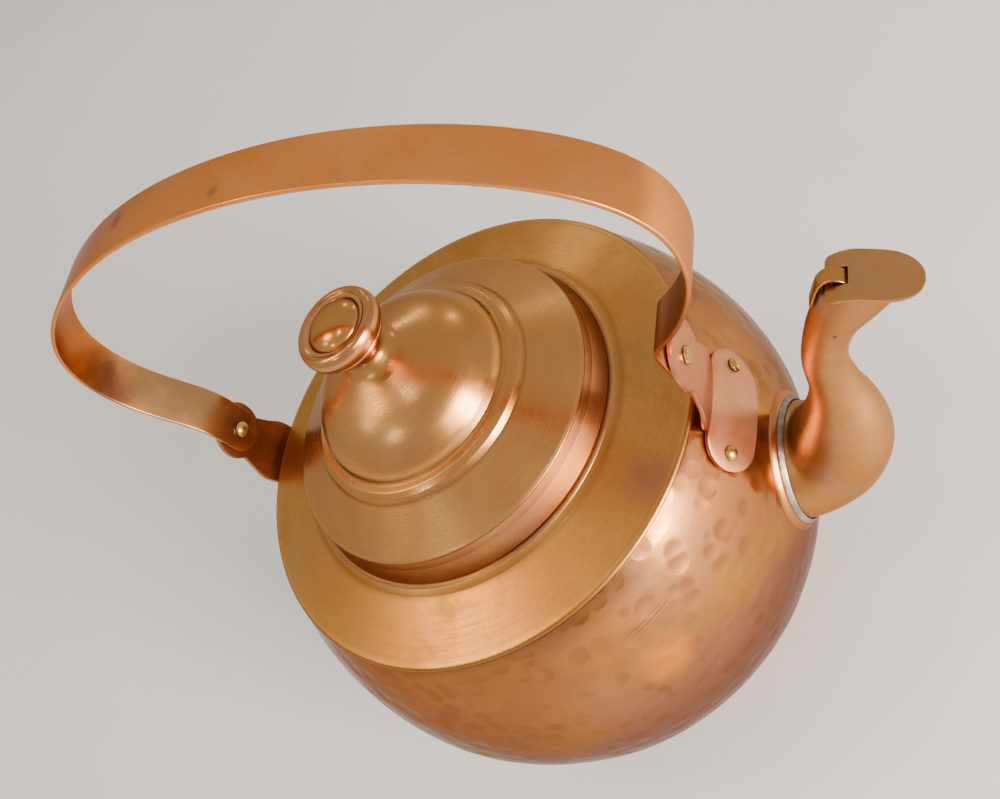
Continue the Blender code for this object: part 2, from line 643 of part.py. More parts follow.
def mouth_trim():
    """Cutter that shapes the spout's rim to the underside of the flap."""
    crease, rear, tip, hinge = flap_line()
    line = offset_line([rear, crease, tip], -FLAP_SHEET - GAP)
    floor = hinge[1] - HINGE_BAR / 2 - FLAP_SHEET / 2 - GAP
    slope = (line[1][1] - line[0][1]) / (line[1][0] - line[0][0])
    start = rear[0] + HINGE_BAR + 0.0008
    up = line[0][1] + (start - line[0][0]) * slope
    drop = math.tan(math.radians(FLAP_SLOPE))
    far = tip[0] + 0.006
    outline = [(rear[0] - 0.020, floor), (start, floor), (start + 0.0004, up), line[1],
               (far, line[1][1] - (far - line[1][0]) * drop), (far, crease[1] + 0.03),
               (rear[0] - 0.020, crease[1] + 0.03)]
    return prism("mouth_trim", outline, MOUTH_HALF_WIDTH * 2.5)


def build_spout():
    copper = make_material("spout_copper", (0.60, 0.38, 0.18))
    rows = [spout_row(station) for station in spout_sections()]
    around = len(rows[0])
    vertices = [point for row in rows for point in row]
    faces = []
    for i in range(len(rows) - 1):
        for j in range(around):
            a = i * around + j
            b = i * around + (j + 1) % around
            faces.append((a, a + around, b + around, b))
    tube = add_object("spout_tube", vertices, [], faces, copper)
    thicken(tube, SPOUT_SHEET, -1.0)
    cut(tube, mouth_trim())
    cut(tube, bpy.data.objects["vessel_envelope"])


def build_flap():
    copper = make_material("flap_copper", (0.58, 0.37, 0.19))
    crease, rear, tip, hinge = flap_line()
    stations = []
    for share, width in ((1.0, 0.93), (0.73, 0.96), (0.36, 0.98), (0.10, 0.99)):
        stations.append((crease[0] + (rear[0] - crease[0]) * share,
                         crease[1] + (rear[1] - crease[1]) * share, width))
    for share, width in ((0.0, 1.0), (0.035, 1.0), (0.16, 1.0), (0.36, 1.0), (0.54, 0.985), (0.68, 0.94),
                         (0.79, 0.86), (0.87, 0.75), (0.93, 0.61), (0.975, 0.42), (1.0, 0.2)):
        stations.append((crease[0] + (tip[0] - crease[0]) * share,
                         crease[1] + (tip[1] - crease[1]) * share, width))
    rows = [straight_row(x - hinge[0], z - hinge[1], FLAP_HALF_WIDTH * width, 7)
            for x, z, width in stations]
    flap = strip("spout_flap", rows, copper, FLAP_SHEET, -1.0)
    soften(flap, 0.0002)
    low = rear[0] + HINGE_BAR
    high = crease[0] + 0.0010
    slot = prism("flap_slot", [(low, hinge[1] - 0.006), (high, hinge[1] - 0.006),
                               (high, hinge[1] + 0.006), (low, hinge[1] + 0.006)],
                 TONGUE_WIDTH / 2 + TONGUE_PLAY)
    cut(flap, slot)
    flap.location = (hinge[0], 0, hinge[1])


def tongue_path():
    """Up the back of the spout, over the hinge bar and down into the slot."""
    crease, rear, tip, hinge = flap_line()
    floor = hinge[1] - HINGE_BAR / 2 - FLAP_SHEET / 2 - GAP
    back = [(row[0][0], row[0][2]) for row in (spout_row(station) for station in spout_sections())]
    tail = []
    for (x, z), (across, up) in zip(back, normals_of(back)):
        if floor - 0.0175 < z < floor - 0.0015:
            out = TONGUE_SHEET / 2 + GAP + 0.0001
            tail.append((x + across * out, z + up * out))
    ring = TONGUE_CURL + TONGUE_SHEET / 2
    reach = crease[0] + 0.0010 - hinge[0] - TONGUE_SHEET / 2 - GAP
    curl = [(hinge[0] - ring * 1.02, hinge[1] + ring * 0.02), (hinge[0] - ring * 0.56, hinge[1] + ring * 0.64),
            (hinge[0] + ring * 0.10, hinge[1] + ring * 0.98), (hinge[0] + ring * 0.73, hinge[1] + ring * 0.78),
            (hinge[0] + reach * 0.82, hinge[1] + ring * 0.38), (hinge[0] + reach * 0.88, hinge[1] + 0.0004)]
    return smooth_path(tail + curl, 2)


def build_tongue():
    copper = make_material("tongue_copper", (0.62, 0.42, 0.20))
    rows = [straight_row(x, z, TONGUE_WIDTH / 2, 2) for x, z in tongue_path()]
    tongue = strip("flap_tongue", rows, copper, TONGUE_SHEET, 0.0)
    soften(tongue, 0.0002)


clear_scene()
parts = make_collection("copper_kettle")
cutters = make_collection("cutters")
build_vessel()
build_base()
build_shoulder()
build_mouth_collar()
build_lid()
build_knob()
build_bracket("front", 1.0)
build_bracket("rear", -1.0)
build_foot_rivets()
build_pivots()
build_handle()
build_spout_root()
build_spout()
build_flap()
build_tongue()
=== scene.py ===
"""Finished looks for a round hammered copper kettle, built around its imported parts."""
import json
import math

import bmesh
import bpy
import numpy as np
from mathutils import Matrix, Vector

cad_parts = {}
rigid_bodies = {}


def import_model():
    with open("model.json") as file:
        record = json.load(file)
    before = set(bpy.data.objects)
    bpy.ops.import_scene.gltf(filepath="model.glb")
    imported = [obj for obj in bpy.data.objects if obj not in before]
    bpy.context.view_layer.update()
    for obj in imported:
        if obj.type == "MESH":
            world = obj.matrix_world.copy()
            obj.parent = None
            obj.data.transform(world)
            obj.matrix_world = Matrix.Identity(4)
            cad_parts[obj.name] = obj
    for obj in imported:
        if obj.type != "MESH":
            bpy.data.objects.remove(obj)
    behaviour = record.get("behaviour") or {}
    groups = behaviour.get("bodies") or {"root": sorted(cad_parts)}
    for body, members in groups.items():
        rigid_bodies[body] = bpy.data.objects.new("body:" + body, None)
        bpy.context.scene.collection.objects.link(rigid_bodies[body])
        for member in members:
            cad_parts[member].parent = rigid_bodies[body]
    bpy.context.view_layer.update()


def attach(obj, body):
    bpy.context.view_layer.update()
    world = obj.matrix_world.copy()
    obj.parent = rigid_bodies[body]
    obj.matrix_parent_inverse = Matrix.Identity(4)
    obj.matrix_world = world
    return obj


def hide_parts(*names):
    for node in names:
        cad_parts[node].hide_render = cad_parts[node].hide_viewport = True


bl_info = {
    "name": "Hammered Copper Kettle",
    "version": (1, 0, 0),
    "blender": (4, 5, 0),
    "location": "View3D > Sidebar > Kettle",
    "description": "Builds a hammered copper kettle with its lid, bail handle and swan-neck spout",
    "category": "Add Mesh",
}

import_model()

# Sizes of the metal parts are in millimetres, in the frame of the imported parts.
MM = 0.001
WALL_TOP = 160.8
WALL_BOTTOM = 1.7
WALL_CURVE = 1.9
WIDEST_HEIGHT = 91.9
BODY_RADIUS = 118.7
BASE_RADIUS = 78.7
TOP_RADIUS = 99.4
WALL_SHEET = 1.3
BASE_SHEET = 1.4
SHOULDER_SHEET = 1.2
LID_SHEET = 1.0
SEAT_CENTRE = Vector((115.471, 0.0, 96.5))
SEAT_AXIS = Vector((0.99908, 0.0, 0.04292)).normalized()
SEAT_UP = Vector((-0.04292, 0.0, 0.99908)).normalized()
ROOT_RADIUS = 23.8
ROOT_BORE = 22.4
PIVOT_HEIGHT = 186.1
EAR_PLANE = 105.27
EAR_RADIUS = 12.6
NECK_HALF_WIDTH = 9.8
FOLD_HEIGHT = 155.0
FOLD_HALF_WIDTH = 13.3
FOOT_MIDDLE = 144.25
FOOT_LENGTH = 48.1
FOOT_HALF_WIDTH = 10.75
FOOT_LIFT = 0.48
RIVET_SPREAD = 17.65
BRACKET_SHEET = 1.6
STRAP_SHEET = 1.6
STRAP_INSET = 1.1
STRAP_HALF_WIDTH = 9.6
SPOUT_SHEET = 1.2
SPOUT_REACH = 55.8
SPOUT_RISE = 114.7
THROAT_RADIUS = 7.4
MOUTH_HALF_LENGTH = 12.2
MOUTH_FACING = math.radians(66.0)
HINGE = Vector((161.35, 0.0, 211.87))
FLAP_SHEET = 1.1
FLAP_HALF_WIDTH = 8.7
FLAP_SLOPE = math.radians(24.2)
FLAP_REAR_SLOPE = math.radians(17.0)
SLOT_HALF_WIDTH = 3.0
TONGUE_SHEET = 0.9
TONGUE_HALF_WIDTH = 2.6
CURL_RADIUS = 3.95
SEED_STEP = (0.37, 0.19, 0.53)  # metres between one hammer-mark pattern and the next
MARK_EDGE = 0.49  # radius of a hammer mark, as a share of the mark size


# ---- sizes and colours a user can change ------------------------------------
def length_property(name, description, default, **limits):
    return bpy.props.FloatProperty(name=name, description=description, default=default,
                                   unit="LENGTH", subtype="DISTANCE", **limits)


def colour_property(name, description, default):
    return bpy.props.FloatVectorProperty(name=name, description=description, default=default,
                                         subtype="COLOR", size=3, min=0.0, max=1.0)


class KettleSettings(bpy.types.PropertyGroup):
    """Sizes and colours of the copper kettle."""
    dent_size: length_property(
        "Hammer mark", "Width of one planishing mark on the vessel", 0.0098, min=0.002, max=0.03)
    dent_depth: length_property("Hammer depth", "Depth of one planishing mark", 0.00022, min=0.0, max=0.001)
    dent_seed: bpy.props.IntProperty(
        name="Hammer seed", description="Picks another pattern of hammer marks", default=4, min=0)
    rivet_head: length_property("Rivet head", "Radius of a foot rivet's domed head", 0.0028)
    pivot_head: length_property("Pivot head", "Radius of a handle pivot's domed head", 0.0037)
    copper: colour_property("Copper", "Colour of the vessel and the lid", (0.60, 0.270, 0.105))
    golden: colour_property("Golden copper", "Colour of the shoulder and the spout", (0.57, 0.285, 0.088))
    orange: colour_property("Orange copper", "Colour of the strap handle", (0.86, 0.32, 0.088))
    brass: colour_property("Brass", "Colour of the rivets", (0.72, 0.46, 0.14))
    tin: colour_property("Tin", "Colour of solder and tinning", (0.60, 0.56, 0.50))


def settings():
    return bpy.context.scene.kettle_settings


# ---- node expressions -------------------------------------------------------
class Wire:
    """A node socket that takes part in Python expressions."""

    def __init__(self, tree, socket):
        self.tree = tree
        self.socket = socket

    def __add__(self, other):
        return self.tree.math("ADD", self, other)

    def __radd__(self, other):
        return self.tree.math("ADD", other, self)

    def __sub__(self, other):
        return self.tree.math("SUBTRACT", self, other)

    def __rsub__(self, other):
        return self.tree.math("SUBTRACT", other, self)

    def __mul__(self, other):
        return self.tree.math("MULTIPLY", self, other)

    def __truediv__(self, other):
        return self.tree.math("DIVIDE", self, other)

    def __pow__(self, other):
        return self.tree.math("POWER", self, other)

    def clamped(self):
        return self.tree.math("ADD", self, 0.0, clamp=True)


class Tree:
    """Adds nodes to a node tree."""

    def __init__(self, tree):
        self.nodes = tree.nodes
        self.links = tree.links

    def plug(self, socket, value):
        """Link a wire to a socket, or set the socket's own value."""
        if isinstance(value, Wire):
            self.links.new(value.socket, socket)
        elif isinstance(value, (tuple, list)) and socket.type == "RGBA" and len(value) == 3:
            socket.default_value = (*value, 1.0)
        else:
            socket.default_value = value

    def node(self, kind, options, values, output=0):
        """Any node: its settings first, then the values or wires of its sockets."""
        made = self.nodes.new(kind)
        for option, value in options.items():
            setattr(made, option, value)
        pairs = values.items() if isinstance(values, dict) else enumerate(values)
        for key, value in pairs:
            self.plug(made.inputs[key], value)
        return Wire(self, made.outputs[output])

    def math(self, operation, first, second=0.0, clamp=False):
        return self.node("ShaderNodeMath", {"operation": operation, "use_clamp": clamp}, (first, second))


class Shading(Tree):
    """Builds one material's nodes from expressions."""

    def __init__(self, name):
        self.material = bpy.data.materials.new(name)
        self.material.use_nodes = True
        super().__init__(self.material.node_tree)
        self.shader = self.nodes["Principled BSDF"]
        place = self.node("ShaderNodeTexCoord", {}, (), "Object")
        self.place = self.node("ShaderNodeVectorMath", {"operation": "SCALE"}, {0: place, "Scale": 1.0 / MM})
        self.x, self.y, self.z = self.split(self.place)
        self.radius = (self.x * self.x + self.y * self.y) ** 0.5

    def split(self, vector):
        made = self.nodes.new("ShaderNodeSeparateXYZ")
        self.plug(made.inputs[0], vector)
        return [Wire(self, made.outputs[i]) for i in range(3)]

    def vector(self, x, y, z):
        return self.node("ShaderNodeCombineXYZ", {}, (x, y, z))

    def shifted(self, offset):
        return self.node("ShaderNodeVectorMath", {"operation": "ADD"}, (self.place, offset))

    def distance(self, point):
        """Distance in millimetres from a point."""
        return self.node("ShaderNodeVectorMath", {"operation": "DISTANCE"}, (self.place, point), "Value")

    def noise(self, size, detail=2.0, rough=0.5, place=None, warp=0.0):
        """Noise from 0 to 1 with features about this many millimetres across."""
        return self.node("ShaderNodeTexNoise", {}, {
            "Vector": place or self.place, "Scale": 1.0 / size, "Detail": detail,
            "Roughness": rough, "Distortion": warp})

    def streaks(self, place, detail=1.0, rough=0.5):
        """Noise from 0 to 1 on coordinates that are already scaled."""
        return self.node("ShaderNodeTexNoise", {}, {
            "Vector": place, "Scale": 1.0, "Detail": detail, "Roughness": rough})

    def cells(self, size, place=None, random=1.0):
        """Distance to the nearest of many scattered points, as a share of their spacing."""
        return self.node("ShaderNodeTexVoronoi", {}, {
            "Vector": place or self.place, "Scale": 1.0 / size, "Randomness": random}, "Distance")

    def step(self, value, low, high):
        """Smooth change from 0 at low to 1 at high."""
        return self.node("ShaderNodeMapRange", {"interpolation_type": "SMOOTHSTEP"},
                         {"Value": value, "From Min": low, "From Max": high})

    def near(self, value, middle, width):
        """1 at the middle, falling to 0 at this distance on both sides."""
        return 1.0 - self.step(self.math("ABSOLUTE", value - middle), 0.0, width)

    def mix(self, share, first, second):
        made = self.nodes.new("ShaderNodeMix")
        made.data_type = "RGBA"
        self.plug(made.inputs[0], share)
        self.plug(made.inputs[6], first)
        self.plug(made.inputs[7], second)
        return Wire(self, made.outputs[2])

    def bump(self, height, strength=0.3, distance=0.0003, normal=None):
        values = {"Height": height, "Strength": strength, "Distance": distance}
        if normal:
            values["Normal"] = normal
        return self.node("ShaderNodeBump", {}, values)

    def finish(self, colour, roughness, normal=None, metallic=1.0, edge=(0.52, 0.49, 0.48)):
        self.plug(self.shader.inputs["Base Color"], colour)
        self.plug(self.shader.inputs["Roughness"], roughness)
        self.plug(self.shader.inputs["Metallic"], metallic)
        self.shader.inputs["Specular Tint"].default_value = (*edge, 1.0)
        if normal:
            self.plug(self.shader.inputs["Normal"], normal)
        return self.material


def tinted(colour, red, green, blue):
    """A colour with its channels scaled."""
    return tuple(min(channel * share, 1.0) for channel, share in zip(colour, (red, green, blue)))


def paint(name, red=1.0, green=1.0, blue=1.0):
    """One of the colours in the settings, with its channels scaled."""
    return tinted(getattr(settings(), name), red, green, blue)


def aged(s, colour, spots=0.5, mottle=0.12):
    """Old metal: slow shifts of hue, cloudy tarnish, fine mottling and small dark spots."""
    hue = s.step(s.noise(46.0, 3.0, 0.55, warp=0.6), 0.36, 0.66)
    base = s.mix(hue, tinted(colour, 0.97, 0.90, 0.80), tinted(colour, 1.05, 1.06, 1.14))
    cloud = s.step(s.noise(17.0, 4.0, 0.62, place=s.shifted((90.0, 40.0, 10.0))), 0.45, 0.75)
    base = s.mix(cloud * mottle * 2.0, base, tinted(colour, 0.62, 0.52, 0.44))
    grain = s.noise(1.6, 3.0, 0.7)
    base = s.mix(s.step(grain, 0.36, 0.70) * mottle * 1.5, base, tinted(colour, 0.66, 0.58, 0.50))
    pick = s.step(s.noise(21.0, 1.0, 0.5, place=s.shifted((7.0, 130.0, 60.0))), 0.50, 0.58)
    fleck = (1.0 - s.step(s.cells(13.0), 0.020, 0.045)) * pick * spots
    base = s.mix(fleck.clamped(), base, (0.10, 0.055, 0.035))
    return base, cloud, grain, fleck


def turning_lines(s, spacing=0.55):
    """Fine rings left by the lathe, which waver slowly round the piece."""
    drift = s.noise(38.0, 2.0, 0.5) * 5.0
    return s.streaks(s.vector(s.radius / spacing, s.z / spacing, drift), 3.0, 0.65)


def scratches(s, spacing, turn):
    """Sparse straight scratches along one direction."""
    turned = s.node("ShaderNodeMapping", {}, {"Vector": s.place, "Rotation": turn,
                                              "Scale": (1.0 / spacing, 0.035, 1.0 / spacing)})
    patch = s.step(s.noise(30.0, 2.0, 0.5, place=s.shifted((turn[0] * 50.0, 20.0, 77.0))), 0.48, 0.62)
    return s.step(s.streaks(turned, 1.0, 0.4), 0.66, 0.71) * patch


def hammered_copper():
    """Planished copper: hammer marks, heat colours with painted shade low on the wall, painted shade in some
    marks and on the near side, a painted orange highlight, a rubbed patch of fine rings and scratches.
    """
    s = Shading("hammered_copper")
    colour = paint("copper", 0.78, 0.73, 0.66)
    base, cloud, grain, fleck = aged(s, colour, 0.5, 0.10)
    seed = settings().dent_seed
    moved = s.shifted(tuple(seed * step / MM for step in SEED_STEP))
    marks = s.cells(settings().dent_size / MM, moved, 0.8)
    # Darker and bluer toward the bottom of the wall: heat tint and painted shade.
    low = 1.0 - s.step(s.z + s.noise(40.0, 2.0, 0.5) * 30.0, 98.0, 150.0)
    seam = s.near(s.z, 161.0, 4.0)
    # Darker inside some of the hammer marks: painted shade.
    pressed = (1.0 - s.step(marks, MARK_EDGE - 0.10, MARK_EDGE)) * s.step(s.noise(26.0, 1.0, 0.5), 0.46, 0.56)
    gold = s.step(s.noise(60.0, 2.0, 0.5, place=s.shifted((15.0, 70.0, 33.0))), 0.50, 0.68)
    violet = s.step(s.noise(38.0, 2.0, 0.5, place=s.shifted((60.0, 15.0, 133.0))), 0.50, 0.70)
    # A darker patch on the near side of the upper wall: painted shade.
    under = 1.0 - s.step(s.distance((-5.0, -108.0, 140.0)), 25.0, 75.0)
    for share, tint in ((low * 0.85, (0.58, 0.60, 1.20)), (seam * 0.5, (0.40, 0.28, 0.22)),
                        (pressed * 0.45, (0.58, 0.46, 0.40)), (gold * 0.75, (1.0, 1.08, 0.62)),
                        (violet * 0.45, (0.66, 0.66, 1.10)), (under * 0.5, (0.62, 0.48, 0.42))):
        base = s.mix(share, base, tinted(colour, *tint))
    # A saturated orange patch in the window's highlight on the wall: painted highlight.
    painted_highlight = 1.0 - s.step(s.distance((78.0, -84.0, 121.0)) + s.noise(8.0, 2.0, 0.5) * 8.0, 7.0, 19.0)
    base = s.mix(painted_highlight * 0.7, base, (0.92, 0.29, 0.05))
    rings = s.streaks(s.vector(s.x * 0.02, s.y * 0.02, s.z / 0.42))
    rubbed = 1.0 - s.step(s.distance((82.0, -76.0, 139.0)), 8.0, 19.0)
    scored = s.step(rings, 0.60, 0.66) * (rubbed + 0.12)
    base = s.mix((scored * 0.55).clamped(), base, tinted(colour, 0.45, 0.34, 0.28))
    marring = scratches(s, 0.45, (0.3, 0.2, 0.7)) + scored
    rough = 0.175 + cloud * 0.09 + grain * 0.05 + marring * 0.06 + low * 0.06
    height = grain * 0.18 - scored * 0.5 + s.noise(5.5, 2.0, 0.5) * 1.1 - fleck
    bowl = s.math("MINIMUM", (marks / MARK_EDGE) ** 2.0, 1.0)
    relief = s.bump(bowl, 0.55, settings().dent_depth)
    return s.finish(base, rough, s.bump(height, 0.20, 0.00022, relief))


def add_stains_and_shade(s, base, stains_and_shade, ragged, core):
    """Soft-edged stains and patches of painted shade, each as (place, reach, strength, colour)."""
    for place, reach, strength, tint in stains_and_shade:
        spot = 1.0 - s.step(s.distance(place) + ragged * reach, reach * core, reach)
        base = s.mix(spot * strength, base, tint)
    return base


def turned_copper(name, colour, rough, stains_and_shade=(), shade_rings=(), highlight_rings=(), spacing=0.55, mottle=0.10):
    """Satin copper off the lathe, with rings of painted shade and of painted highlight as (radius, width,
    strength).
    """
    s = Shading(name)
    base, cloud, grain, fleck = aged(s, colour, 0.35, mottle)
    lines = turning_lines(s, spacing)
    base = s.mix(s.step(lines, 0.42, 0.74) * 0.30, base, tinted(colour, 0.66, 0.58, 0.48))
    ragged = s.noise(9.0, 3.0, 0.6)
    base = add_stains_and_shade(s, base, stains_and_shade, ragged * 0.36, 0.25)
    # Dark rings are painted shade; bright rings are painted highlights.
    for radius, width, strength in shade_rings:
        ring = s.near(s.radius + ragged * 0.75, radius, width)
        base = s.mix(ring * strength, base, tinted(colour, 0.34, 0.24, 0.18))
    for radius, width, strength in highlight_rings:
        base = s.mix(s.near(s.radius, radius, width) * strength, base, tinted(colour, 1.15, 1.2, 1.3))
    level = rough + cloud * 0.08 + (lines - 0.5) * 0.16 + grain * 0.03
    height = lines * 0.75 + grain * 0.10 - fleck + s.noise(9.0, 1.0, 0.4) * 0.8
    return s.finish(base, level, s.bump(height, 0.16, 0.00018))


def brushed_copper(name, colour, rough, along, stains_and_shade=(), bluish=None):
    """Satin copper rubbed along one direction."""
    s = Shading(name)
    base, cloud, grain, fleck = aged(s, colour, 0.6, 0.11)
    lines = s.streaks(s.node("ShaderNodeMapping", {}, {"Vector": s.place, "Scale": along}), 3.0, 0.6)
    base = s.mix(s.step(lines, 0.5, 0.82) * 0.22, base, tinted(colour, 0.70, 0.60, 0.50))
    base = add_stains_and_shade(s, base, stains_and_shade, s.noise(6.0, 3.0, 0.6) * 0.5, 0.35)
    if bluish:
        base = s.mix(s.step(s.noise(24.0, 3.0, 0.6), 0.48, 0.80) * 0.22, base, bluish)
    level = rough + cloud * 0.10 + (lines - 0.5) * 0.10 + grain * 0.05
    height = lines * 0.45 + grain * 0.3 - fleck * 1.2 + s.noise(6.0, 2.0, 0.5) * 0.8
    return s.finish(base, level, s.bump(height, 0.17, 0.00018))


def rivet_brass():
    """Dull yellow brass, a little uneven from the hammer."""
    s = Shading("rivet_brass")
    base, cloud, grain, _ = aged(s, paint("brass"), 0.2, 0.16)
    height = s.noise(1.9, 1.0, 0.4) + grain * 0.15
    return s.finish(base, 0.22 + cloud * 0.10 + grain * 0.05, s.bump(height, 0.22, 0.00012))


def soft_solder():
    """Lumpy tin solder, duller toward the top of the spout's root."""
    s = Shading("soft_solder")
    lumps = s.noise(2.6, 3.0, 0.55)
    high = s.step(s.z, 92.0, 112.0)
    dull = (s.step(s.noise(7.0, 3.0, 0.6), 0.42, 0.66) + high * 0.7).clamped()
    base = s.mix(dull * 0.85, paint("tin", 0.9, 0.9, 0.9), (0.24, 0.19, 0.15))
    return s.finish(base, 0.26 + dull * 0.22, s.bump(lumps, 0.55, 0.0005))


def old_tinning():
    """Wiped tinning, worn through to copper in patches."""
    s = Shading("old_tinning")
    worn = s.step(s.noise(11.0, 4.0, 0.6), 0.52, 0.68)
    base = s.mix(worn * 0.6, paint("tin", 0.8, 0.8, 0.8), (0.55, 0.33, 0.20))
    wipe = turning_lines(s, 1.2)
    return s.finish(base, 0.38 + worn * 0.1 + wipe * 0.08, s.bump(wipe, 0.15, 0.0002))


# ---- mesh helpers -----------------------------------------------------------
def smooth_path(knots, spans):
    """Catmull-Rom curve through the knots."""
    points = [np.array(knot, float) for knot in knots]
    padded = [2 * points[0] - points[1], *points, 2 * points[-1] - points[-2]]
    path = []
    for i in range(1, len(padded) - 2):
        before, start, end, after = padded[i - 1:i + 3]
        for share in np.arange(spans) / spans:
            path.append(0.5 * (2 * start + (end - before) * share
                               + (2 * before - 5 * start + 4 * end - after) * share ** 2
                               + (3 * start - before - 3 * end + after) * share ** 3))
    path.append(points[-1])
    return path


def rounded(points, radius, bits=4, closed=False):
    """Round the corners of a line in a plane; a point may carry its own radius as a third number."""
    count = len(points)
    line = []
    for i, point in enumerate(points):
        corner = np.array(point[:2], float)
        reach = point[2] if len(point) > 2 else radius
        if not closed and i in (0, count - 1) or reach <= 0:
            line.append(corner)
            continue
        back = np.array(points[i - 1][:2], float) - corner
        ahead = np.array(points[(i + 1) % count][:2], float) - corner
        near, far = np.linalg.norm(back), np.linalg.norm(ahead)
        back, ahead = back / near, ahead / far
        turn = math.pi - math.acos(max(-1.0, min(1.0, float(back @ ahead))))
        if turn < 0.05:
            line.append(corner)
            continue
        length = min(reach * math.tan(turn / 2), near * 0.45, far * 0.45)
        start, end = corner + back * length, corner + ahead * length
        for share in np.linspace(0, 1, bits + 1):
            line.append((1 - share) ** 2 * start + 2 * share * (1 - share) * corner + share ** 2 * end)
    return line


def sheet_line(outer, thickness):
    """Close an outer line into the outline of a sheet lying on its inner side."""
    line = np.array([point[:2] for point in outer], float)
    run = np.gradient(line, axis=0)
    run /= np.linalg.norm(run, axis=1)[:, None]
    inner = line - np.stack([-run[:, 1], run[:, 0]], 1) * thickness
    return list(line) + list(inner[::-1])


def link(thing):
    bpy.context.scene.collection.objects.link(thing)
    return thing


def new_piece(name, vertices, faces, material=None, smooth=True):
    """A mesh object at the origin from points in millimetres."""
    mesh = bpy.data.meshes.new(name)
    mesh.from_pydata([tuple(np.array(v) * MM) for v in vertices], [], faces)
    if smooth:
        mesh.polygons.foreach_set("use_smooth", [True] * len(mesh.polygons))
    mesh.update()
    thing = link(bpy.data.objects.new(name, mesh))
    if material:
        mesh.materials.append(material)
    return thing


def clean(thing):
    """Merge doubled points."""
    mesh = bmesh.new()
    mesh.from_mesh(thing.data)
    bmesh.ops.remove_doubles(mesh, verts=mesh.verts, dist=1e-6)
    mesh.to_mesh(thing.data)
    mesh.free()
    return thing


def ring_faces(rings, count):
    """Faces between rings of points, with the last ring joined to the first."""
    faces = []
    for k in range(rings):
        for i in range(count):
            j, there = (i + 1) % count, (k + 1) % rings * count
            faces.append((k * count + i, k * count + j, there + j, there + i))
    return faces


def lathe(name, loop, material, steps=256, closed=True, waver=0.0):
    """Turn an outline round Z; its outer side runs from top to bottom."""
    loop = [np.array(point[:2], float) for point in loop]
    count = len(loop)
    vertices = []
    for k in range(steps):
        angle = 2 * math.pi * k / steps
        swell = waver * (math.sin(2 * angle + 0.7) + 0.6 * math.sin(3 * angle + 2.0)
                         + 0.35 * math.sin(7 * angle))
        lift = waver * 0.5 * math.sin(3 * angle + 1.3)
        for radius, height in loop:
            far = radius + swell * min(radius / 40.0, 1.0)
            vertices.append((far * math.cos(angle), far * math.sin(angle), height + lift))
    on_axis = [radius < 1e-9 for radius, _ in loop]
    used = [not (on_axis[i] and on_axis[(i + 1) % count]) for i in range(count)]
    used[-1] = used[-1] and closed
    faces = [face for face in ring_faces(steps, count) if used[face[0] % count]]
    return clean(new_piece(name, vertices, faces, material))


def loft(name, rings, material):
    """Skin a run of closed rings of points and cap both ends."""
    count = len(rings[0])
    vertices = [point for ring in rings for point in ring]
    faces = ring_faces(len(rings), count)[:-count]
    faces.append(tuple(range(count))[::-1])
    faces.append(tuple(range(len(vertices) - count, len(vertices))))
    return new_piece(name, vertices, faces, material)


def outward(thing):
    """Turn every face of a closed mesh to the outside."""
    mesh = bmesh.new()
    mesh.from_mesh(thing.data)
    bmesh.ops.remove_doubles(mesh, verts=mesh.verts, dist=1e-7)
    bmesh.ops.recalc_face_normals(mesh, faces=mesh.faces)
    if mesh.calc_volume(signed=True) < 0:
        bmesh.ops.reverse_faces(mesh, faces=mesh.faces)
    mesh.to_mesh(thing.data)
    mesh.free()
    return thing


def settle(thing):
    """Apply the modifiers of an object and keep the result as its plain mesh."""
    graph = bpy.context.evaluated_depsgraph_get()
    mesh = bpy.data.meshes.new_from_object(thing.evaluated_get(graph), depsgraph=graph)
    old = thing.data
    thing.modifiers.clear()
    thing.data = mesh
    mesh.name = thing.name
    bpy.data.meshes.remove(old)
    return thing


def carve(thing, cutter):
    """Take one solid out of another."""
    boolean = thing.modifiers.new("cut", "BOOLEAN")
    boolean.operation = "DIFFERENCE"
    boolean.solver = "EXACT"
    boolean.object = cutter
    settle(thing)
    bpy.data.objects.remove(cutter, do_unlink=True)
    return thing


def soften(thing, width):
    """Round the sharp edges of a solid."""
    bevel = thing.modifiers.new("soft edge", "BEVEL")
    bevel.width = width * MM
    bevel.segments = 2
    bevel.limit_method = "ANGLE"
    bevel.angle_limit = math.radians(35)
    return settle(thing)


def sharpen(thing, angle=38):
    """Smooth faces with crisp edges where the surface turns sharply."""
    mesh = thing.data
    mesh.polygons.foreach_set("use_smooth", [True] * len(mesh.polygons))
    mesh.set_sharp_from_angle(angle=math.radians(angle))
    return thing


def strip(name, rows, material, thickness, offset, bevel):
    """Sheet metal from rows of points across its width."""
    across = len(rows[0])
    vertices = [point for row in rows for point in row]
    faces = []
    for i in range(len(rows) - 1):
        for j in range(across - 1):
            a = i * across + j
            faces.append((a, a + 1, a + across + 1, a + across))
    thing = new_piece(name, vertices, faces, material)
    solid = thing.modifiers.new("sheet", "SOLIDIFY")
    solid.thickness = thickness * MM
    solid.offset = offset
    solid.use_even_offset = True
    settle(thing)
    outward(thing)
    if bevel:
        soften(thing, bevel)
    return sharpen(thing)


def prism(name, outline, half_depth):
    """Solid from an outline in the XZ plane drawn out along Y."""
    count = len(outline)
    vertices = [(x, -half_depth, z) for x, z in outline] + [(x, half_depth, z) for x, z in outline]
    faces = [tuple(range(count)), tuple(range(2 * count - 1, count - 1, -1))]
    for i in range(count):
        j = (i + 1) % count
        faces.append((j, i, i + count, j + count))
    return outward(new_piece(name, vertices, faces, smooth=False))


def strap_ring(centre, along, half_width, half_thickness):
    """Rounded cross-section of a flat strap that bends in the XZ plane."""
    side = np.array([-along[2], 0.0, along[0]])
    section = rounded([(-half_width, -half_thickness), (half_width, -half_thickness),
                       (half_width, half_thickness), (-half_width, half_thickness)],
                      min(0.45, half_thickness * 0.9), 3, closed=True)
    return [centre + np.array([0.0, u, 0.0]) + side * v for u, v in section]


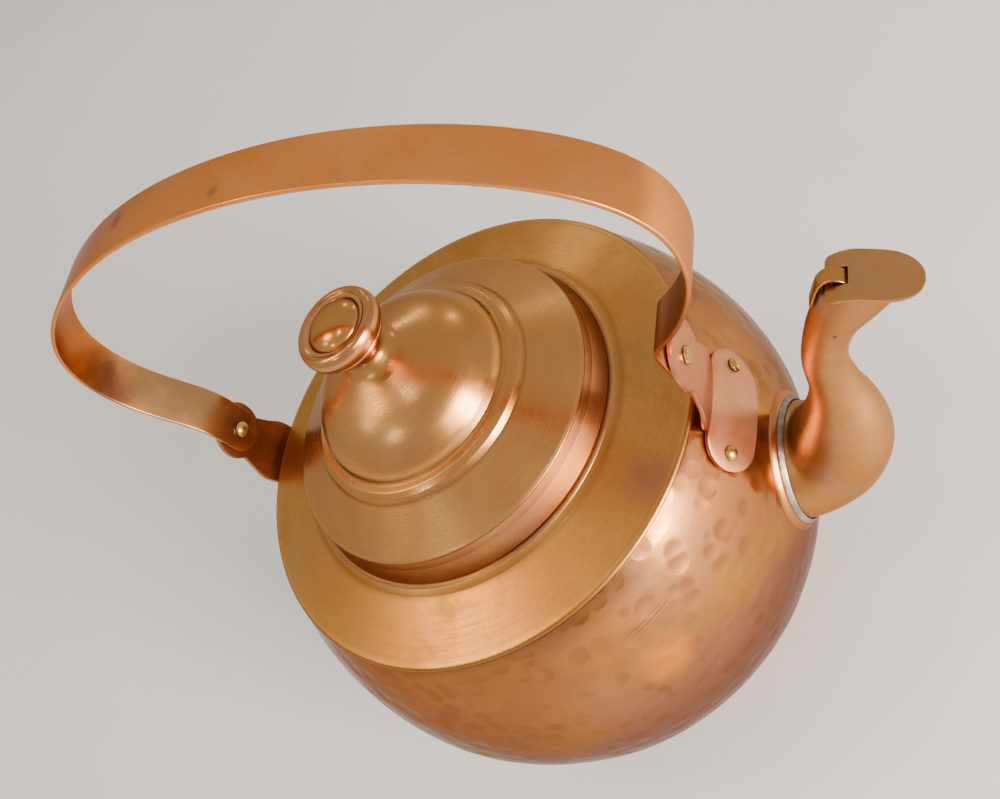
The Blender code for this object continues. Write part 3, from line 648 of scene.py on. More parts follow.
def strap_piece(name, path, widths, thickness, material):
    """A flat strap along a path in the XZ plane."""
    points = [np.array([x, 0.0, z]) for x, z in path]
    rings = []
    for i, point in enumerate(points):
        run = points[min(i + 1, len(points) - 1)] - points[max(i - 1, 0)]
        run /= np.linalg.norm(run)
        rings.append(strap_ring(point, run, widths[i], thickness / 2))
    return sharpen(outward(loft(name, rings, material)), 50)


def finish_piece(thing, body, slot, *nodes):
    """Put the piece on the body it rides on and hide the parts it stands for; slot is not used."""
    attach(thing, body)
    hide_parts(*nodes)


# ---- geometry node trees ----------------------------------------------------
class Geometry(Tree):
    """Builds a geometry node tree with named inputs."""

    def __init__(self, name, inputs):
        self.group = bpy.data.node_groups.new(name, "GeometryNodeTree")
        super().__init__(self.group)
        sockets = self.group.interface
        sockets.new_socket("Geometry", in_out="INPUT", socket_type="NodeSocketGeometry")
        self.ids = {}
        for label, kind in inputs:
            self.ids[label] = sockets.new_socket(label, in_out="INPUT", socket_type=kind).identifier
        sockets.new_socket("Geometry", in_out="OUTPUT", socket_type="NodeSocketGeometry")
        self.source = self.nodes.new("NodeGroupInput")
        self.result = self.nodes.new("NodeGroupOutput")

    def input(self, label):
        return Wire(self, self.source.outputs[label])

    def attribute(self, name, kind):
        return self.node("GeometryNodeInputNamedAttribute", {"data_type": kind}, {"Name": name})

    def spread(self, place, scale, detail, low, high):
        """Slow noise turned into values from low to high."""
        noise = self.node("ShaderNodeTexNoise", {}, {"Vector": place, "Scale": scale, "Detail": detail})
        return self.node("ShaderNodeMapRange", {}, {"Value": noise, "From Min": 0.3, "From Max": 0.7,
                                                   "To Min": low, "To Max": high})

    def close(self, geometry, material):
        """End the tree in Realize Instances and Set Material."""
        real = self.node("GeometryNodeRealizeInstances", {}, (geometry,))
        painted = self.node("GeometryNodeSetMaterial", {}, {"Geometry": real, "Material": material})
        self.plug(self.result.inputs[0], painted)

    def run(self, thing, values):
        """Run the tree on an object with these input values and keep the result."""
        modifier = thing.modifiers.new(self.group.name, "NODES")
        modifier.node_group = self.group
        for label, value in values.items():
            modifier[self.ids[label]] = value
        return settle(thing)


def hammer_marks(material):
    """Shallow round marks pressed into a surface where its attribute says how much."""
    g = Geometry("hammer_marks", [("Mark size", "NodeSocketFloat"), ("Depth", "NodeSocketFloat"),
                                  ("Seed", "NodeSocketInt")])
    place = g.node("GeometryNodeInputPosition", {}, ())
    seed = g.node("ShaderNodeVectorMath", {"operation": "SCALE"}, {0: SEED_STEP, "Scale": g.input("Seed")})
    moved = g.node("ShaderNodeVectorMath", {"operation": "ADD"}, (place, seed))
    scale = g.math("DIVIDE", 1.0, g.input("Mark size"))
    marks = g.node("ShaderNodeTexVoronoi", {},
                   {"Vector": moved, "Scale": scale, "Randomness": 0.8}, "Distance")
    bowl = g.math("MINIMUM", (marks / MARK_EDGE) ** 2.0, 1.0) - 1.0
    depth = bowl * g.input("Depth") * g.spread(moved, 22.0, 1.0, 0.35, 1.35)
    depth = depth + g.spread(moved, 34.0, 0.0, -0.00022, 0.00010)
    depth = depth * g.attribute("hammered", "FLOAT")
    normal = g.node("GeometryNodeInputNormal", {}, ())
    offset = g.node("ShaderNodeVectorMath", {"operation": "SCALE"}, {0: normal, "Scale": depth})
    pressed = g.node("GeometryNodeSetPosition", {}, {"Geometry": g.input("Geometry"), "Offset": offset})
    g.close(pressed, material)
    return g


def rivets_on_points(material):
    """A domed rivet on every point, facing the way the point's attribute says."""
    g = Geometry("rivets", [("Rivet", "NodeSocketObject"), ("Head radius", "NodeSocketFloat")])
    shape = g.node("GeometryNodeObjectInfo", {}, {"Object": g.input("Rivet")}, "Geometry")
    facing = g.attribute("facing", "FLOAT_VECTOR")
    turn = g.node("FunctionNodeAlignRotationToVector", {"axis": "Z"}, {"Vector": facing})
    copies = g.node("GeometryNodeInstanceOnPoints", {}, {
        "Points": g.input("Geometry"), "Instance": shape, "Rotation": turn,
        "Scale": g.input("Head radius")})
    g.close(copies, material)
    return g


# ---- vessel -----------------------------------------------------------------
def wall_radius(height):
    """Outer radius of the vessel at a height."""
    if height > WIDEST_HEIGHT:
        share = (height - WIDEST_HEIGHT) / (WALL_TOP - WIDEST_HEIGHT)
        return BODY_RADIUS - (BODY_RADIUS - TOP_RADIUS) * share ** WALL_CURVE
    share = (WIDEST_HEIGHT - height) / (WIDEST_HEIGHT - WALL_BOTTOM)
    return BODY_RADIUS * math.sqrt(1 - share * share * (1 - (BASE_RADIUS / BODY_RADIUS) ** 2))


def wall_normal(height):
    """The wall's outward direction at a height, as (out, up)."""
    slope = (wall_radius(height + 0.2) - wall_radius(height - 0.2)) / 0.4
    length = math.hypot(1.0, slope)
    return 1.0 / length, -slope / length


def wall_line(count, out):
    """Points down the wall, moved out from it, closer together near both ends."""
    line = []
    for i in range(count):
        share = i / (count - 1)
        share = 0.5 * share + 0.25 * (1 - math.cos(math.pi * share))
        height = WALL_TOP + (WALL_BOTTOM - WALL_TOP) * share
        across, up = wall_normal(height)
        line.append((wall_radius(height) + across * out, height + up * out))
    return line


def hammered_share(x, y, z):
    """How much the hammer marks count at a point: not inside, at the edges or by the spout."""
    if math.hypot(x, y) <= wall_radius(max(min(z, WALL_TOP), WALL_BOTTOM)) - 0.5:
        return 0.0
    fade = min(max((WALL_TOP - 1.5 - z) / 10.0, 0.0), 1.0) * min(max((z - 6.0) / 10.0, 0.0), 1.0)
    root = (Vector((x, y, z)) - SEAT_CENTRE).length
    return fade * min(max((root - 29.0) / 6.0, 0.0), 1.0)


def build_vessel():
    inner = wall_line(22, -WALL_SHEET)
    inner[0] = (inner[0][0], WALL_TOP)
    inner[-1] = (inner[-1][0], WALL_BOTTOM)
    material = hammered_copper()
    body = lathe("hammered_vessel", wall_line(132, 0.0) + inner[::-1], material, 480)
    share = body.data.attributes.new("hammered", "FLOAT", "POINT")
    share.data.foreach_set("value", [hammered_share(*(vertex.co / MM)) for vertex in body.data.vertices])
    hammer_marks(material).run(body, {"Mark size": settings().dent_size, "Depth": settings().dent_depth,
                                      "Seed": settings().dent_seed})
    body.data.attributes.remove(body.data.attributes["hammered"])
    bore = lathe("bore", [(0, 12), (ROOT_BORE, 12), (ROOT_BORE, -14), (0, -14)], None, 72, closed=False)
    turn = SEAT_AXIS.to_track_quat("Z", "Y").to_matrix().to_4x4()
    bore.data.transform(Matrix.Translation(SEAT_CENTRE * MM) @ turn)
    finish_piece(carve(body, bore), "kettle", "hammered_copper", "body_shell")


def build_base():
    material = turned_copper("base_copper", paint("copper", 0.62, 0.56, 0.55), 0.42, mottle=0.22, spacing=1.1)
    outline = rounded([(0, BASE_SHEET), (BASE_RADIUS, BASE_SHEET), (BASE_RADIUS, 0.0), (0, 0.0)], 0.6)
    base = lathe("base_plate_disc", outline, material, 192, closed=False)
    finish_piece(base, "kettle", "base_copper", "base_plate")


def build_shoulder():
    stains_and_shade = (((45.0, -20.0, 166.0), 30.0, 0.35, (0.30, 0.15, 0.10)),
              ((88.0, 20.0, 164.0), 26.0, 0.25, (0.45, 0.27, 0.12)),
              ((86.0, -33.0, 163.0), 17.0, 0.55, (0.32, 0.15, 0.11)),
              ((-70.0, -50.0, 164.0), 34.0, 0.20, (0.42, 0.26, 0.14)))
    # Painted shade in the fillet by the collar and at the rim's edge; painted highlight on the rim's bead.
    material = turned_copper("turned_shoulder_copper", paint("golden", 1.02, 0.96, 0.80), 0.30, stains_and_shade,
                             shade_rings=((74.5, 2.6, 0.35), (99.6, 0.8, 0.35)),
                             highlight_rings=((98.3, 1.0, 0.5),), mottle=0.20)
    outer = [(70.6, 169.75), (71.8, 169.35, 0.5), (74.2, 168.2, 3.0), (78.2, 167.25, 5.0),
             (90.0, 164.55, 6.0), (97.0, 163.05, 3.0), (99.2, 162.7, 0.9), (100.0, 161.9, 0.5),
             (99.75, 161.1, 0.1)]
    line = rounded(outer, 1.0, 5)
    plate = lathe("turned_shoulder", sheet_line(line, SHOULDER_SHEET), material, 320)
    finish_piece(plate, "kettle", "shoulder_copper", "shoulder_plate")


def build_collar():
    stains_and_shade = (((45.0, -58.0, 168.0), 26.0, 0.45, (0.34, 0.16, 0.09)),
              ((74.0, 5.0, 168.0), 22.0, 0.35, (0.30, 0.20, 0.10)))
    # Painted shade just outside the lid's band and a painted highlight along the seam.
    material = turned_copper("collar_copper", paint("golden", 1.04, 1.0, 1.25), 0.27, stains_and_shade,
                             shade_rings=((70.9, 0.8, 0.5),), highlight_rings=((71.9, 0.8, 0.6),))
    outline = rounded([(65.6, 170.2, 0.4), (70.7, 170.2, 0.35), (71.6, 169.5, 0.3), (72.1, 168.5, 0.2),
                       (67.2, 168.9, 0.2), (67.2, 161.0, 0.3), (65.6, 161.0, 0.3)], 0.3, closed=True)
    collar = lathe("turned_collar", outline, material, 288)
    finish_piece(collar, "kettle", "collar_copper", "mouth_collar")


# ---- lid --------------------------------------------------------------------
def build_lid_top():
    dome = smooth_path([(7.2, 228.2), (8.5, 227.4), (9.9, 225.4), (12.3, 223.1), (18.0, 220.3),
                        (27.0, 215.9), (34.0, 210.3), (38.9, 203.3), (40.6, 198.9)], 5)
    outer = [(2.5, 228.2, 0)] + [(radius, height, 0) for radius, height in dome[:-1]]
    outer += [(40.75, 198.55, 0.5), (41.9, 197.85, 0.5), (44.4, 197.65, 1.3), (46.7, 196.0, 1.6),
              (47.8, 193.65, 0.5), (65.3, 183.75, 0.9), (66.3, 182.95, 0.5), (66.35, 182.3, 0.1)]
    # Painted shade at the steps and round the knob's foot; painted highlights on the flange's edge and on a
    # step.
    material = turned_copper("turned_lid_copper", paint("copper", 1.0, 1.06, 0.88), 0.25,
                             shade_rings=((48.2, 1.2, 0.45), (41.2, 0.8, 0.45), (8.5, 1.4, 0.6)),
                             highlight_rings=((65.6, 0.7, 0.6), (43.8, 1.0, 0.3)), mottle=0.08)
    top = lathe("lid_dome", sheet_line(rounded(outer, 0.5, 5), LID_SHEET), material, 288, waver=0.03)
    finish_piece(top, "lid", "lid_copper", "lid_top")


def build_lid_band():
    material = turned_copper("band_copper", paint("copper", 0.86, 0.78, 0.70), 0.27,
                             stains_and_shade=(((46.0, -52.0, 174.0), 20.0, 0.4, (0.34, 0.17, 0.10)),), mottle=0.16)
    outline = rounded([(66.2, 182.6, 0.1), (67.2, 178.4, 3.0), (69.9, 170.7, 0.2), (69.2, 170.5, 0.1),
                       (66.1, 178.4, 3.0), (65.2, 182.6, 0.1)], 0.3, closed=True)
    band = lathe("lid_skirt", outline, material, 288, waver=0.03)
    finish_piece(band, "lid", "band_copper", "lid_band")


def build_lid_sleeve():
    outline = rounded([(64.5, 182.3), (64.5, 157.8), (63.5, 157.8), (63.5, 182.3)], 0.25, 3, closed=True)
    sleeve = lathe("lid_sleeve_ring", outline, old_tinning(), 192)
    finish_piece(sleeve, "lid", "sleeve_tin", "lid_sleeve")


def build_knob():
    # Painted shade under the knob's ring and in its groove; painted highlight on the ring.
    material = turned_copper("knob_copper", paint("copper", 1.0, 1.02, 0.95), 0.20,
                             stains_and_shade=(((0.0, 0.0, 231.0), 11.0, 0.6, (0.26, 0.10, 0.05)),),
                             shade_rings=((11.2, 0.3, 0.6),), highlight_rings=((12.4, 1.0, 0.8),),
                             spacing=0.4, mottle=0.12)
    ring = smooth_path([(11.3, 243.7), (12.0, 243.8), (12.7, 243.9), (13.4, 244.35), (14.5, 244.6),
                        (15.7, 244.0), (16.6, 242.5), (16.9, 240.6), (16.5, 238.4), (15.3, 236.9),
                        (14.1, 236.4)], 4)
    foot = smooth_path([(14.1, 236.4), (14.45, 235.4), (13.9, 234.3), (11.6, 233.5), (8.8, 232.7),
                        (7.3, 231.2), (6.9, 229.8), (7.2, 228.5)], 4)
    outline = [(2.4, 242.6), (11.2, 242.7)] + ring[:-1] + foot + [(2.4, 228.5)]
    knob = lathe("knob_ring", outline, material, 128, waver=0.02)
    finish_piece(knob, "lid", "knob_copper", "lid_knob")


def build_stud():
    """The button in the top of the knob, its stud through the dome and the washer under it."""
    # Painted highlight round the button's edge.
    material = turned_copper("stud_copper", paint("golden", 1.02, 1.0, 0.95), 0.20,
                             highlight_rings=((10.4, 0.5, 0.5),), spacing=0.4)
    button = smooth_path([(0.0, 247.8), (3.6, 247.5), (6.9, 246.6), (9.5, 245.1), (10.8, 243.7),
                          (10.9, 242.9)], 4)
    outline = button + [(2.0, 242.9), (2.0, 225.9), (3.3, 225.9), (3.0, 224.9), (0.0, 224.6)]
    stud = lathe("knob_button", outline, material, 96, closed=False)
    finish_piece(stud, "lid", "stud_copper", "knob_stud")
    flat = rounded([(5.6, 226.9), (5.6, 225.9), (2.4, 225.9), (2.4, 226.9)], 0.2, 3, closed=True)
    washer = lathe("knob_washer_ring", flat, old_tinning(), 48)
    finish_piece(washer, "lid", "washer_tin", "knob_washer")


# ---- brackets and rivets ----------------------------------------------------
def foot_rows(columns, count):
    """Rows of the riveted foot: a plate with round ends that follows the wall."""
    rows = []
    for i in range(count):
        swing = math.cos(math.pi * i / (count - 1))
        round_end = FOOT_HALF_WIDTH * math.sqrt(max(1 - swing * swing, 0.0))
        width = FOOT_LENGTH / 2 - FOOT_HALF_WIDTH + round_end
        height = FOOT_MIDDLE - FOOT_HALF_WIDTH * swing
        across, up = wall_normal(height)
        radius = wall_radius(height) + across * FOOT_LIFT
        row = []
        for share in np.linspace(-1, 1, columns):
            y = width * share
            row.append((math.sqrt(radius ** 2 - y ** 2), y, height + up * FOOT_LIFT))
        rows.append(row)
    return rows


def neck_rows(columns, meet):
    """Rows of the neck, which swells, narrows and bends out from the wall to the plane of the ear."""
    top = PIVOT_HEIGHT - EAR_RADIUS * math.sin(meet)
    start = wall_radius(FOLD_HEIGHT) + 0.3
    swells = smooth_path([(0.0, 1.0), (0.22, 1.05), (0.44, 1.06), (0.66, 0.92),
                          (1.0, NECK_HALF_WIDTH / FOLD_HALF_WIDTH)], 3)
    rows = []
    for share, swell in swells[1:]:
        bend = min(share / 0.66, 1.0)
        ease = bend * bend * (3 - 2 * bend)
        row = []
        for side in np.linspace(-1, 1, columns):
            y = FOLD_HALF_WIDTH * swell * side
            bowed = math.sqrt(start ** 2 - y ** 2)
            row.append((bowed + (EAR_PLANE - bowed) * ease, y, FOLD_HEIGHT + (top - FOLD_HEIGHT) * share))
        rows.append(row)
    return rows


def ear_rows(columns, meet, count=20):
    """Rows of the round ear above the neck."""
    rows = []
    for i in range(1, count + 1):
        angle = -meet + (math.radians(86) + meet) * i / count
        half = EAR_RADIUS * math.cos(angle)
        height = PIVOT_HEIGHT + EAR_RADIUS * math.sin(angle)
        rows.append([(EAR_PLANE, half * side, height) for side in np.linspace(-1, 1, columns)])
    return rows


def build_brackets():
    columns = 17
    meet = math.acos(NECK_HALF_WIDTH / EAR_RADIUS)
    front = foot_rows(columns, 17) + neck_rows(columns, meet) + ear_rows(columns, meet)
    rear = [[(-x, -y, z) for x, y, z in row] for row in front]
    # Painted shade over the rear bracket, which is otherwise the same copper as the front one.
    behind = [((-104.0, 0.0, 178.0), 34.0, 0.8, (0.24, 0.11, 0.07))]
    for end, sign, rows, shade_patches in (("front", 1.0, front, []), ("rear", -1.0, rear, behind)):
        stains_and_shade = []
        for y in (RIVET_SPREAD, -RIVET_SPREAD):
            stains_and_shade.append(((105.5 * sign, y, 145.0), 6.5, 0.5, (0.30, 0.13, 0.08)))
            stains_and_shade.append(((105.0 * sign, y * 0.75, 156.0), 6.0, 0.6, (0.62, 0.16, 0.06)))
        stains_and_shade.append(((106.0 * sign, 0.0, PIVOT_HEIGHT), 8.0, 0.6, (0.22, 0.12, 0.08)))
        material = brushed_copper(end + "_bracket_copper", paint("copper", 1.20, 1.15, 1.45), 0.33,
                                  (0.5, 0.5, 2.2), stains_and_shade + shade_patches)
        bracket = strip(end + "_handle_bracket", rows, material, BRACKET_SHEET, 1.0, 0.4)
        finish_piece(bracket, "kettle", end + "_bracket_copper", end + "_bracket")


def foot_rivet_places():
    """Place and outward direction of the two rivets in each foot."""
    radius = wall_radius(FOOT_MIDDLE)
    across, up = wall_normal(FOOT_MIDDLE)
    turn = math.asin(RIVET_SPREAD / radius)
    spots = []
    for facing in (0.0, math.pi):
        for sign in (1.0, -1.0):
            angle = facing + sign * turn
            flat = Vector((math.cos(angle), math.sin(angle), 0.0))
            spots.append((flat * radius + Vector((0, 0, FOOT_MIDDLE)), flat * across + Vector((0, 0, up))))
    return spots


def pivot_places():
    """Place and inward direction of the two handle pivots."""
    return [(Vector((sign * EAR_PLANE, 0, PIVOT_HEIGHT)), Vector((-sign, 0, 0))) for sign in (1.0, -1.0)]


def rivet_template(seat, tail):
    """A rivet with a head radius of one unit; seat and tail are in millimetres along it."""
    unit = 2.8
    head = smooth_path([(0.0, seat + 1.8), (unit * 0.36, seat + 1.66), (unit * 0.70, seat + 1.2),
                        (unit * 0.93, seat + 0.6), (unit, seat + 0.0)], 5)
    outline = head + [(unit * 0.97, seat), (1.6, seat), (1.6, tail), (2.5, tail), (2.2, tail - 0.7),
                      (0.0, tail - 0.9)]
    thing = lathe("rivet_template", outline, None, 40, closed=False)
    thing.data.transform(Matrix.Scale(1.0 / (unit * MM), 4))
    return thing


def rivet_points(name, places):
    """One point for each rivet, with its direction in an attribute."""
    mesh = bpy.data.meshes.new(name)
    mesh.from_pydata([place * MM for place, _ in places], [], [])
    facing = mesh.attributes.new("facing", "FLOAT_VECTOR", "POINT")
    facing.data.foreach_set("vector", [number for _, way in places for number in way])
    return link(bpy.data.objects.new(name, mesh))


def build_rivets():
    groups = (
        ("foot_rivets", foot_rivet_places(), settings().rivet_head, 2.35, -1.85, "front_rivet_left_brass",
         ("front_rivet_left", "front_rivet_right", "rear_rivet_left", "rear_rivet_right")),
        ("handle_pivots", pivot_places(), settings().pivot_head, 1.66, -1.45, "front_pivot_brass",
         ("front_pivot", "rear_pivot")))
    tree = rivets_on_points(rivet_brass())
    for name, places, head, seat, tail, slot, nodes in groups:
        template = rivet_template(seat, tail)
        rivets = rivet_points(name, places)
        tree.run(rivets, {"Rivet": template, "Head radius": head})
        bpy.data.objects.remove(template, do_unlink=True)
        finish_piece(sharpen(outward(rivets), 50), "kettle", slot, *nodes)


# ---- handle -----------------------------------------------------------------
def handle_path():
    """Points along the strap from its rear end over the crown to its front end, as (x, z)."""
    end = EAR_PLANE - STRAP_INSET
    tail = -0.96 * STRAP_HALF_WIDTH
    rear, front, top = EAR_PLANE + 16.3, EAR_PLANE + 26.7, 132.2
    knots = [(-end, tail), (-end, tail * 0.43), (-end, 2.0), (-end + 0.2, 9.0), (-end - 0.2, 16.0)]
    for out, up in ((-0.885, 0.185), (-0.9375, 0.261), (-0.982, 0.344), (-1.0, 0.4425), (-0.982, 0.548),
                    (-0.917, 0.654), (-0.785, 0.764), (-0.5715, 0.874), (-0.292, 0.962)):
        knots.append((rear * out, top * up))
    for out, up in ((0.011, 1.0), (0.2955, 0.988), (0.553, 0.927), (0.765, 0.8305), (0.909, 0.7185),
                    (0.983, 0.605), (1.0, 0.4915), (0.976, 0.3745), (0.917, 0.2685), (0.845, 0.185)):
        knots.append((front * out, top * up))
    knots += [(end - 0.1, 18.5), (end - 0.3, 9.5), (end, 2.0), (end, tail * 0.43), (end, tail)]
    path = smooth_path(knots, 8)
    for _ in range(14):
        eased = [path[0]]
        for before, point, after in zip(path, path[1:], path[2:]):
            eased.append(0.25 * before + 0.5 * point + 0.25 * after if point[1] > 3.5 else point)
        path = eased + [path[-1]]
    return [(x, z + PIVOT_HEIGHT) for x, z in path]


def build_handle():
    # The large patches on both legs, the dark patch at the rear leg's bulge and the one round the rear pivot
    # are painted shade; the small spots on the crown are stains.
    stains_and_shade = (((-30.0, 3.0, 314.0), 7.0, 0.6, (0.20, 0.12, 0.08)),
              ((20.0, -4.0, 318.0), 4.0, 0.6, (0.24, 0.14, 0.09)),
              ((-112.0, 0.0, 215.0), 70.0, 0.8, (0.42, 0.25, 0.11)),
              ((-121.0, -3.0, 244.0), 24.0, 0.75, (0.20, 0.08, 0.05)),
              ((-104.0, 0.0, 186.0), 21.0, 0.85, (0.20, 0.12, 0.10)),
              ((112.0, 0.0, 215.0), 58.0, 0.7, (0.24, 0.12, 0.07)),
              ((60.0, 6.0, 310.0), 3.0, 0.7, (0.25, 0.15, 0.10)))
    material = brushed_copper("strap_copper", paint("orange"), 0.27, (0.12, 2.6, 0.12), stains_and_shade)
    path = handle_path()
    widths = []
    for _, z in path:
        low = max(0.0, PIVOT_HEIGHT - z) / STRAP_HALF_WIDTH
        widths.append(STRAP_HALF_WIDTH * math.sqrt(max(1 - low * low, 0.06)))
    strap = strap_piece("strap_handle", path, widths, STRAP_SHEET, material)
    finish_piece(strap, "handle", "strap_copper", "handle_strap")


# ---- spout ------------------------------------------------------------------
def on_wall(angle, radius, out=0.0):
    """Point of the wall seen from the spout's seat at an angle and radius, moved out along the seat axis."""
    base = SEAT_CENTRE + (SEAT_UP * math.cos(angle) + Vector((0, 1, 0)) * math.sin(angle)) * radius
    low, high = -25.0, 15.0
    for _ in range(40):
        middle = (low + high) / 2
        point = base + SEAT_AXIS * middle
        if math.hypot(point.x, point.y) < wall_radius(point.z):
            low = middle
        else:
            high = middle
    return base + SEAT_AXIS * (low + out)


def seat_ring(name, outline, material, steps=144):
    """Closed ring round the spout root whose outline of (radius, rise) rides on the wall."""
    vertices = []
    for k in range(steps):
        angle = 2 * math.pi * k / steps
        for radius, rise in outline:
            vertices.append(on_wall(angle, radius, rise))
    faces = ring_faces(steps, len(outline))
    return sharpen(outward(new_piece(name, vertices, faces, material)), 55)


def spout_stations(shrink):
    """Stations along the spout beyond its root: middle x and z, half length, half width, facing."""
    tilt = math.degrees(math.atan2(SEAT_AXIS.z, SEAT_AXIS.x))
    start = SEAT_CENTRE + SEAT_AXIS * 0.9
    knots = [(start.x, start.z, ROOT_RADIUS, ROOT_RADIUS, tilt)]
    for out, up, share, facing in ((0.160, 0.020, 0.91, 20.0), (0.330, 0.078, 0.762, 43.0),
                                   (0.459, 0.205, 0.598, 64.0), (0.532, 0.359, 0.323, 77.0),
                                   (0.561, 0.501, 0.079, 85.0), (0.591, 0.658, 0.0, 81.0)):
        size = THROAT_RADIUS + 16.4 * share
        knots.append((SEAT_CENTRE.x + SPOUT_REACH * out, SEAT_CENTRE.z + SPOUT_RISE * up, size, size, facing))
    for out, up, share, facing in ((0.712, 0.811, 0.04, 68.0), (0.867, 0.914, 0.50, 62.0),
                                   (1.0, 1.0, 1.0, 66.0)):
        knots.append((SEAT_CENTRE.x + SPOUT_REACH * out, SEAT_CENTRE.z + SPOUT_RISE * up,
                      THROAT_RADIUS + 4.8 * share, THROAT_RADIUS + 0.1 * share, facing))
    return [(x, z, length - shrink, width - shrink, facing)
            for x, z, length, width, facing in smooth_path(knots, 8)]


def spout_ring(station, around=72):
    """Oval ring of points across the spout at a station."""
    x, z, length, width, facing = station
    turn = math.radians(facing)
    ring = []
    for i in range(around):
        angle = 2 * math.pi * i / around
        up = length * math.cos(angle)
        ring.append((x - up * math.sin(turn), width * math.sin(angle), z + up * math.cos(turn)))
    return ring


def flap_line():
    """Crease, rear end and tip along the top of the flap, as (x, z)."""
    crease = (166.37, 213.75)
    reach = MOUTH_HALF_LENGTH * math.sin(MOUTH_FACING)
    rear = (crease[0] - (reach - 5.2), crease[1] - (reach - 5.2) * math.tan(FLAP_REAR_SLOPE))
    tip = (crease[0] + reach + 8.0, crease[1] - (reach + 8.0) * math.tan(FLAP_SLOPE))
    return crease, rear, tip


def mouth_trim():
    """Cutter that shapes the spout's rim to the underside of the flap."""
    crease, rear, tip = flap_line()
    floor = HINGE.z - 1.0 - 0.55 - 0.3
    slope, drop = math.tan(FLAP_REAR_SLOPE), math.tan(FLAP_SLOPE)
    start = rear[0] + 2.8
    under = crease[1] - 1.45
    left, right, top = rear[0] - 20, tip[0] + 6, crease[1] + 30
    outline = [(left, floor), (start, floor), (start + 0.4, under - (crease[0] - start - 0.4) * slope),
               (crease[0], under), (right, under - (right - crease[0]) * drop), (right, top), (left, top)]
    return prism("mouth_trim", outline, 19.0)


def build_spout():
    # The dark patches at (129, 0, 121) and (134, -8, 126) are painted shade in the hollow above the root; the
    # others are stains.
    stains_and_shade = (((129.0, 0.0, 121.0), 17.0, 0.70, (0.24, 0.11, 0.03)),
              ((156.0, -4.0, 208.0), 9.5, 0.8, (0.34, 0.33, 0.32)),
              ((157.7, -7.4, 194.1), 1.5, 0.95, (0.05, 0.03, 0.02)),
              ((134.0, -8.0, 126.0), 20.0, 0.6, (0.24, 0.11, 0.04)),
              ((145.0, -4.0, 166.0), 15.0, 0.4, (0.32, 0.15, 0.06)),
              ((121.0, 18.0, 112.0), 11.0, 0.5, (0.42, 0.18, 0.08)))
    material = brushed_copper("spout_copper", paint("golden", 0.96, 0.92, 1.0), 0.40, (0.5, 0.5, 0.5), stains_and_shade,
                              bluish=(0.40, 0.36, 0.33))
    outer = [spout_ring(station) for station in spout_stations(0.0)]
    inner = [spout_ring(station) for station in spout_stations(SPOUT_SHEET)]
    around = len(outer[0])
    root = [[on_wall(2 * math.pi * i / around, ROOT_RADIUS - shrink, -0.5) for i in range(around)]
            for shrink in (0.0, SPOUT_SHEET)]
    rings = [root[0]] + outer[4:] + inner[4:][::-1] + [root[1]]
    vertices = [point for ring in rings for point in ring]
    tube = outward(new_piece("swan_neck_spout", vertices, ring_faces(len(rings), around), material))
    carve(tube, mouth_trim())
    soften(tube, 0.3)
    finish_piece(sharpen(tube, 45), "kettle", "spout_copper", "spout_tube")


def build_spout_joint():
    """The vessel's turned-out lip round the spout and the solder bead inside it."""
    copper = brushed_copper("lip_copper", paint("copper", 0.92, 0.85, 0.85), 0.26, (0.8, 0.8, 0.8),
                            (((116.0, 0.0, 70.0), 16.0, 0.5, (0.36, 0.14, 0.07)),))
    lip = rounded([(25.1, 1.9), (26.2, 1.7), (27.3, 0.75), (27.8, 0.1), (27.8, -0.6), (25.1, -0.6)], 0.4, 3,
                  closed=True)
    finish_piece(seat_ring("spout_lip", lip, copper), "kettle", "lip_copper", "spout_collar")
    bead = rounded([(23.7, 3.6, 0.2), (24.5, 2.9, 0.8), (25.3, 1.95, 0.3), (25.0, 0.2), (23.7, 0.2)], 0.3, 3,
                   closed=True)
    finish_piece(seat_ring("solder_bead", bead, soft_solder()), "kettle", "solder_tin", "spout_solder")


def flap_rows():
    """Rows of the flap from its bent rear end over the crease to its oval tip."""
    crease, rear, tip = flap_line()
    stations = []
    for share in (1.0, 0.93, 0.8, 0.62, 0.48, 0.36, 0.25, 0.12):
        stations.append((crease[0] + (rear[0] - crease[0]) * share,
                         crease[1] + (rear[1] - crease[1]) * share, 1 - 0.07 * share))
    tip_shares = 0.5 + 0.5 * np.sin(np.linspace(0.06, 1.0, 22) * math.pi / 2)
    for share in (0.0, 0.025, 0.05, 0.08, 0.12, 0.17, 0.25, 0.35, 0.43, 0.5, *tip_shares):
        width = 1.0 if share < 0.36 else math.sqrt(max(1 - ((share - 0.36) / 0.645) ** 2.6, 0.012))
        stations.append((crease[0] + (tip[0] - crease[0]) * share,
                         crease[1] + (tip[1] - crease[1]) * share, width))
    corner = (0.80, 0.95, 1.0)
    rows = []
    for i, (x, z, width) in enumerate(stations):
        sunk = z - 0.8 * max(1 - abs(x - crease[0]) / 3.6, 0.0) ** 2
        half = FLAP_HALF_WIDTH * (width * corner[min(i, 2)])
        rows.append([(x, half * side, sunk) for side in np.linspace(-1, 1, 15)])
    return rows


def build_flap():
    crease, rear, _ = flap_line()
    material = brushed_copper("flap_copper", paint("golden", 0.98, 0.98, 1.25), 0.30, (1.2, 0.25, 1.2),
                              (((170.0, 0.0, 213.0), 9.0, 0.25, (0.40, 0.26, 0.14)),))
    flap = strip("spout_flap_plate", flap_rows(), material, FLAP_SHEET, -1.0, 0)
    behind, ahead = rear[0] + 2.0, crease[0] + 0.55
    outline = [(behind, 207.0), (ahead, 207.0), (ahead, 219.0), (behind, 219.0)]
    carve(flap, prism("slot", outline, SLOT_HALF_WIDTH))
    soften(flap, 0.28)
    finish_piece(sharpen(flap), "flap", "flap_copper", "spout_flap")


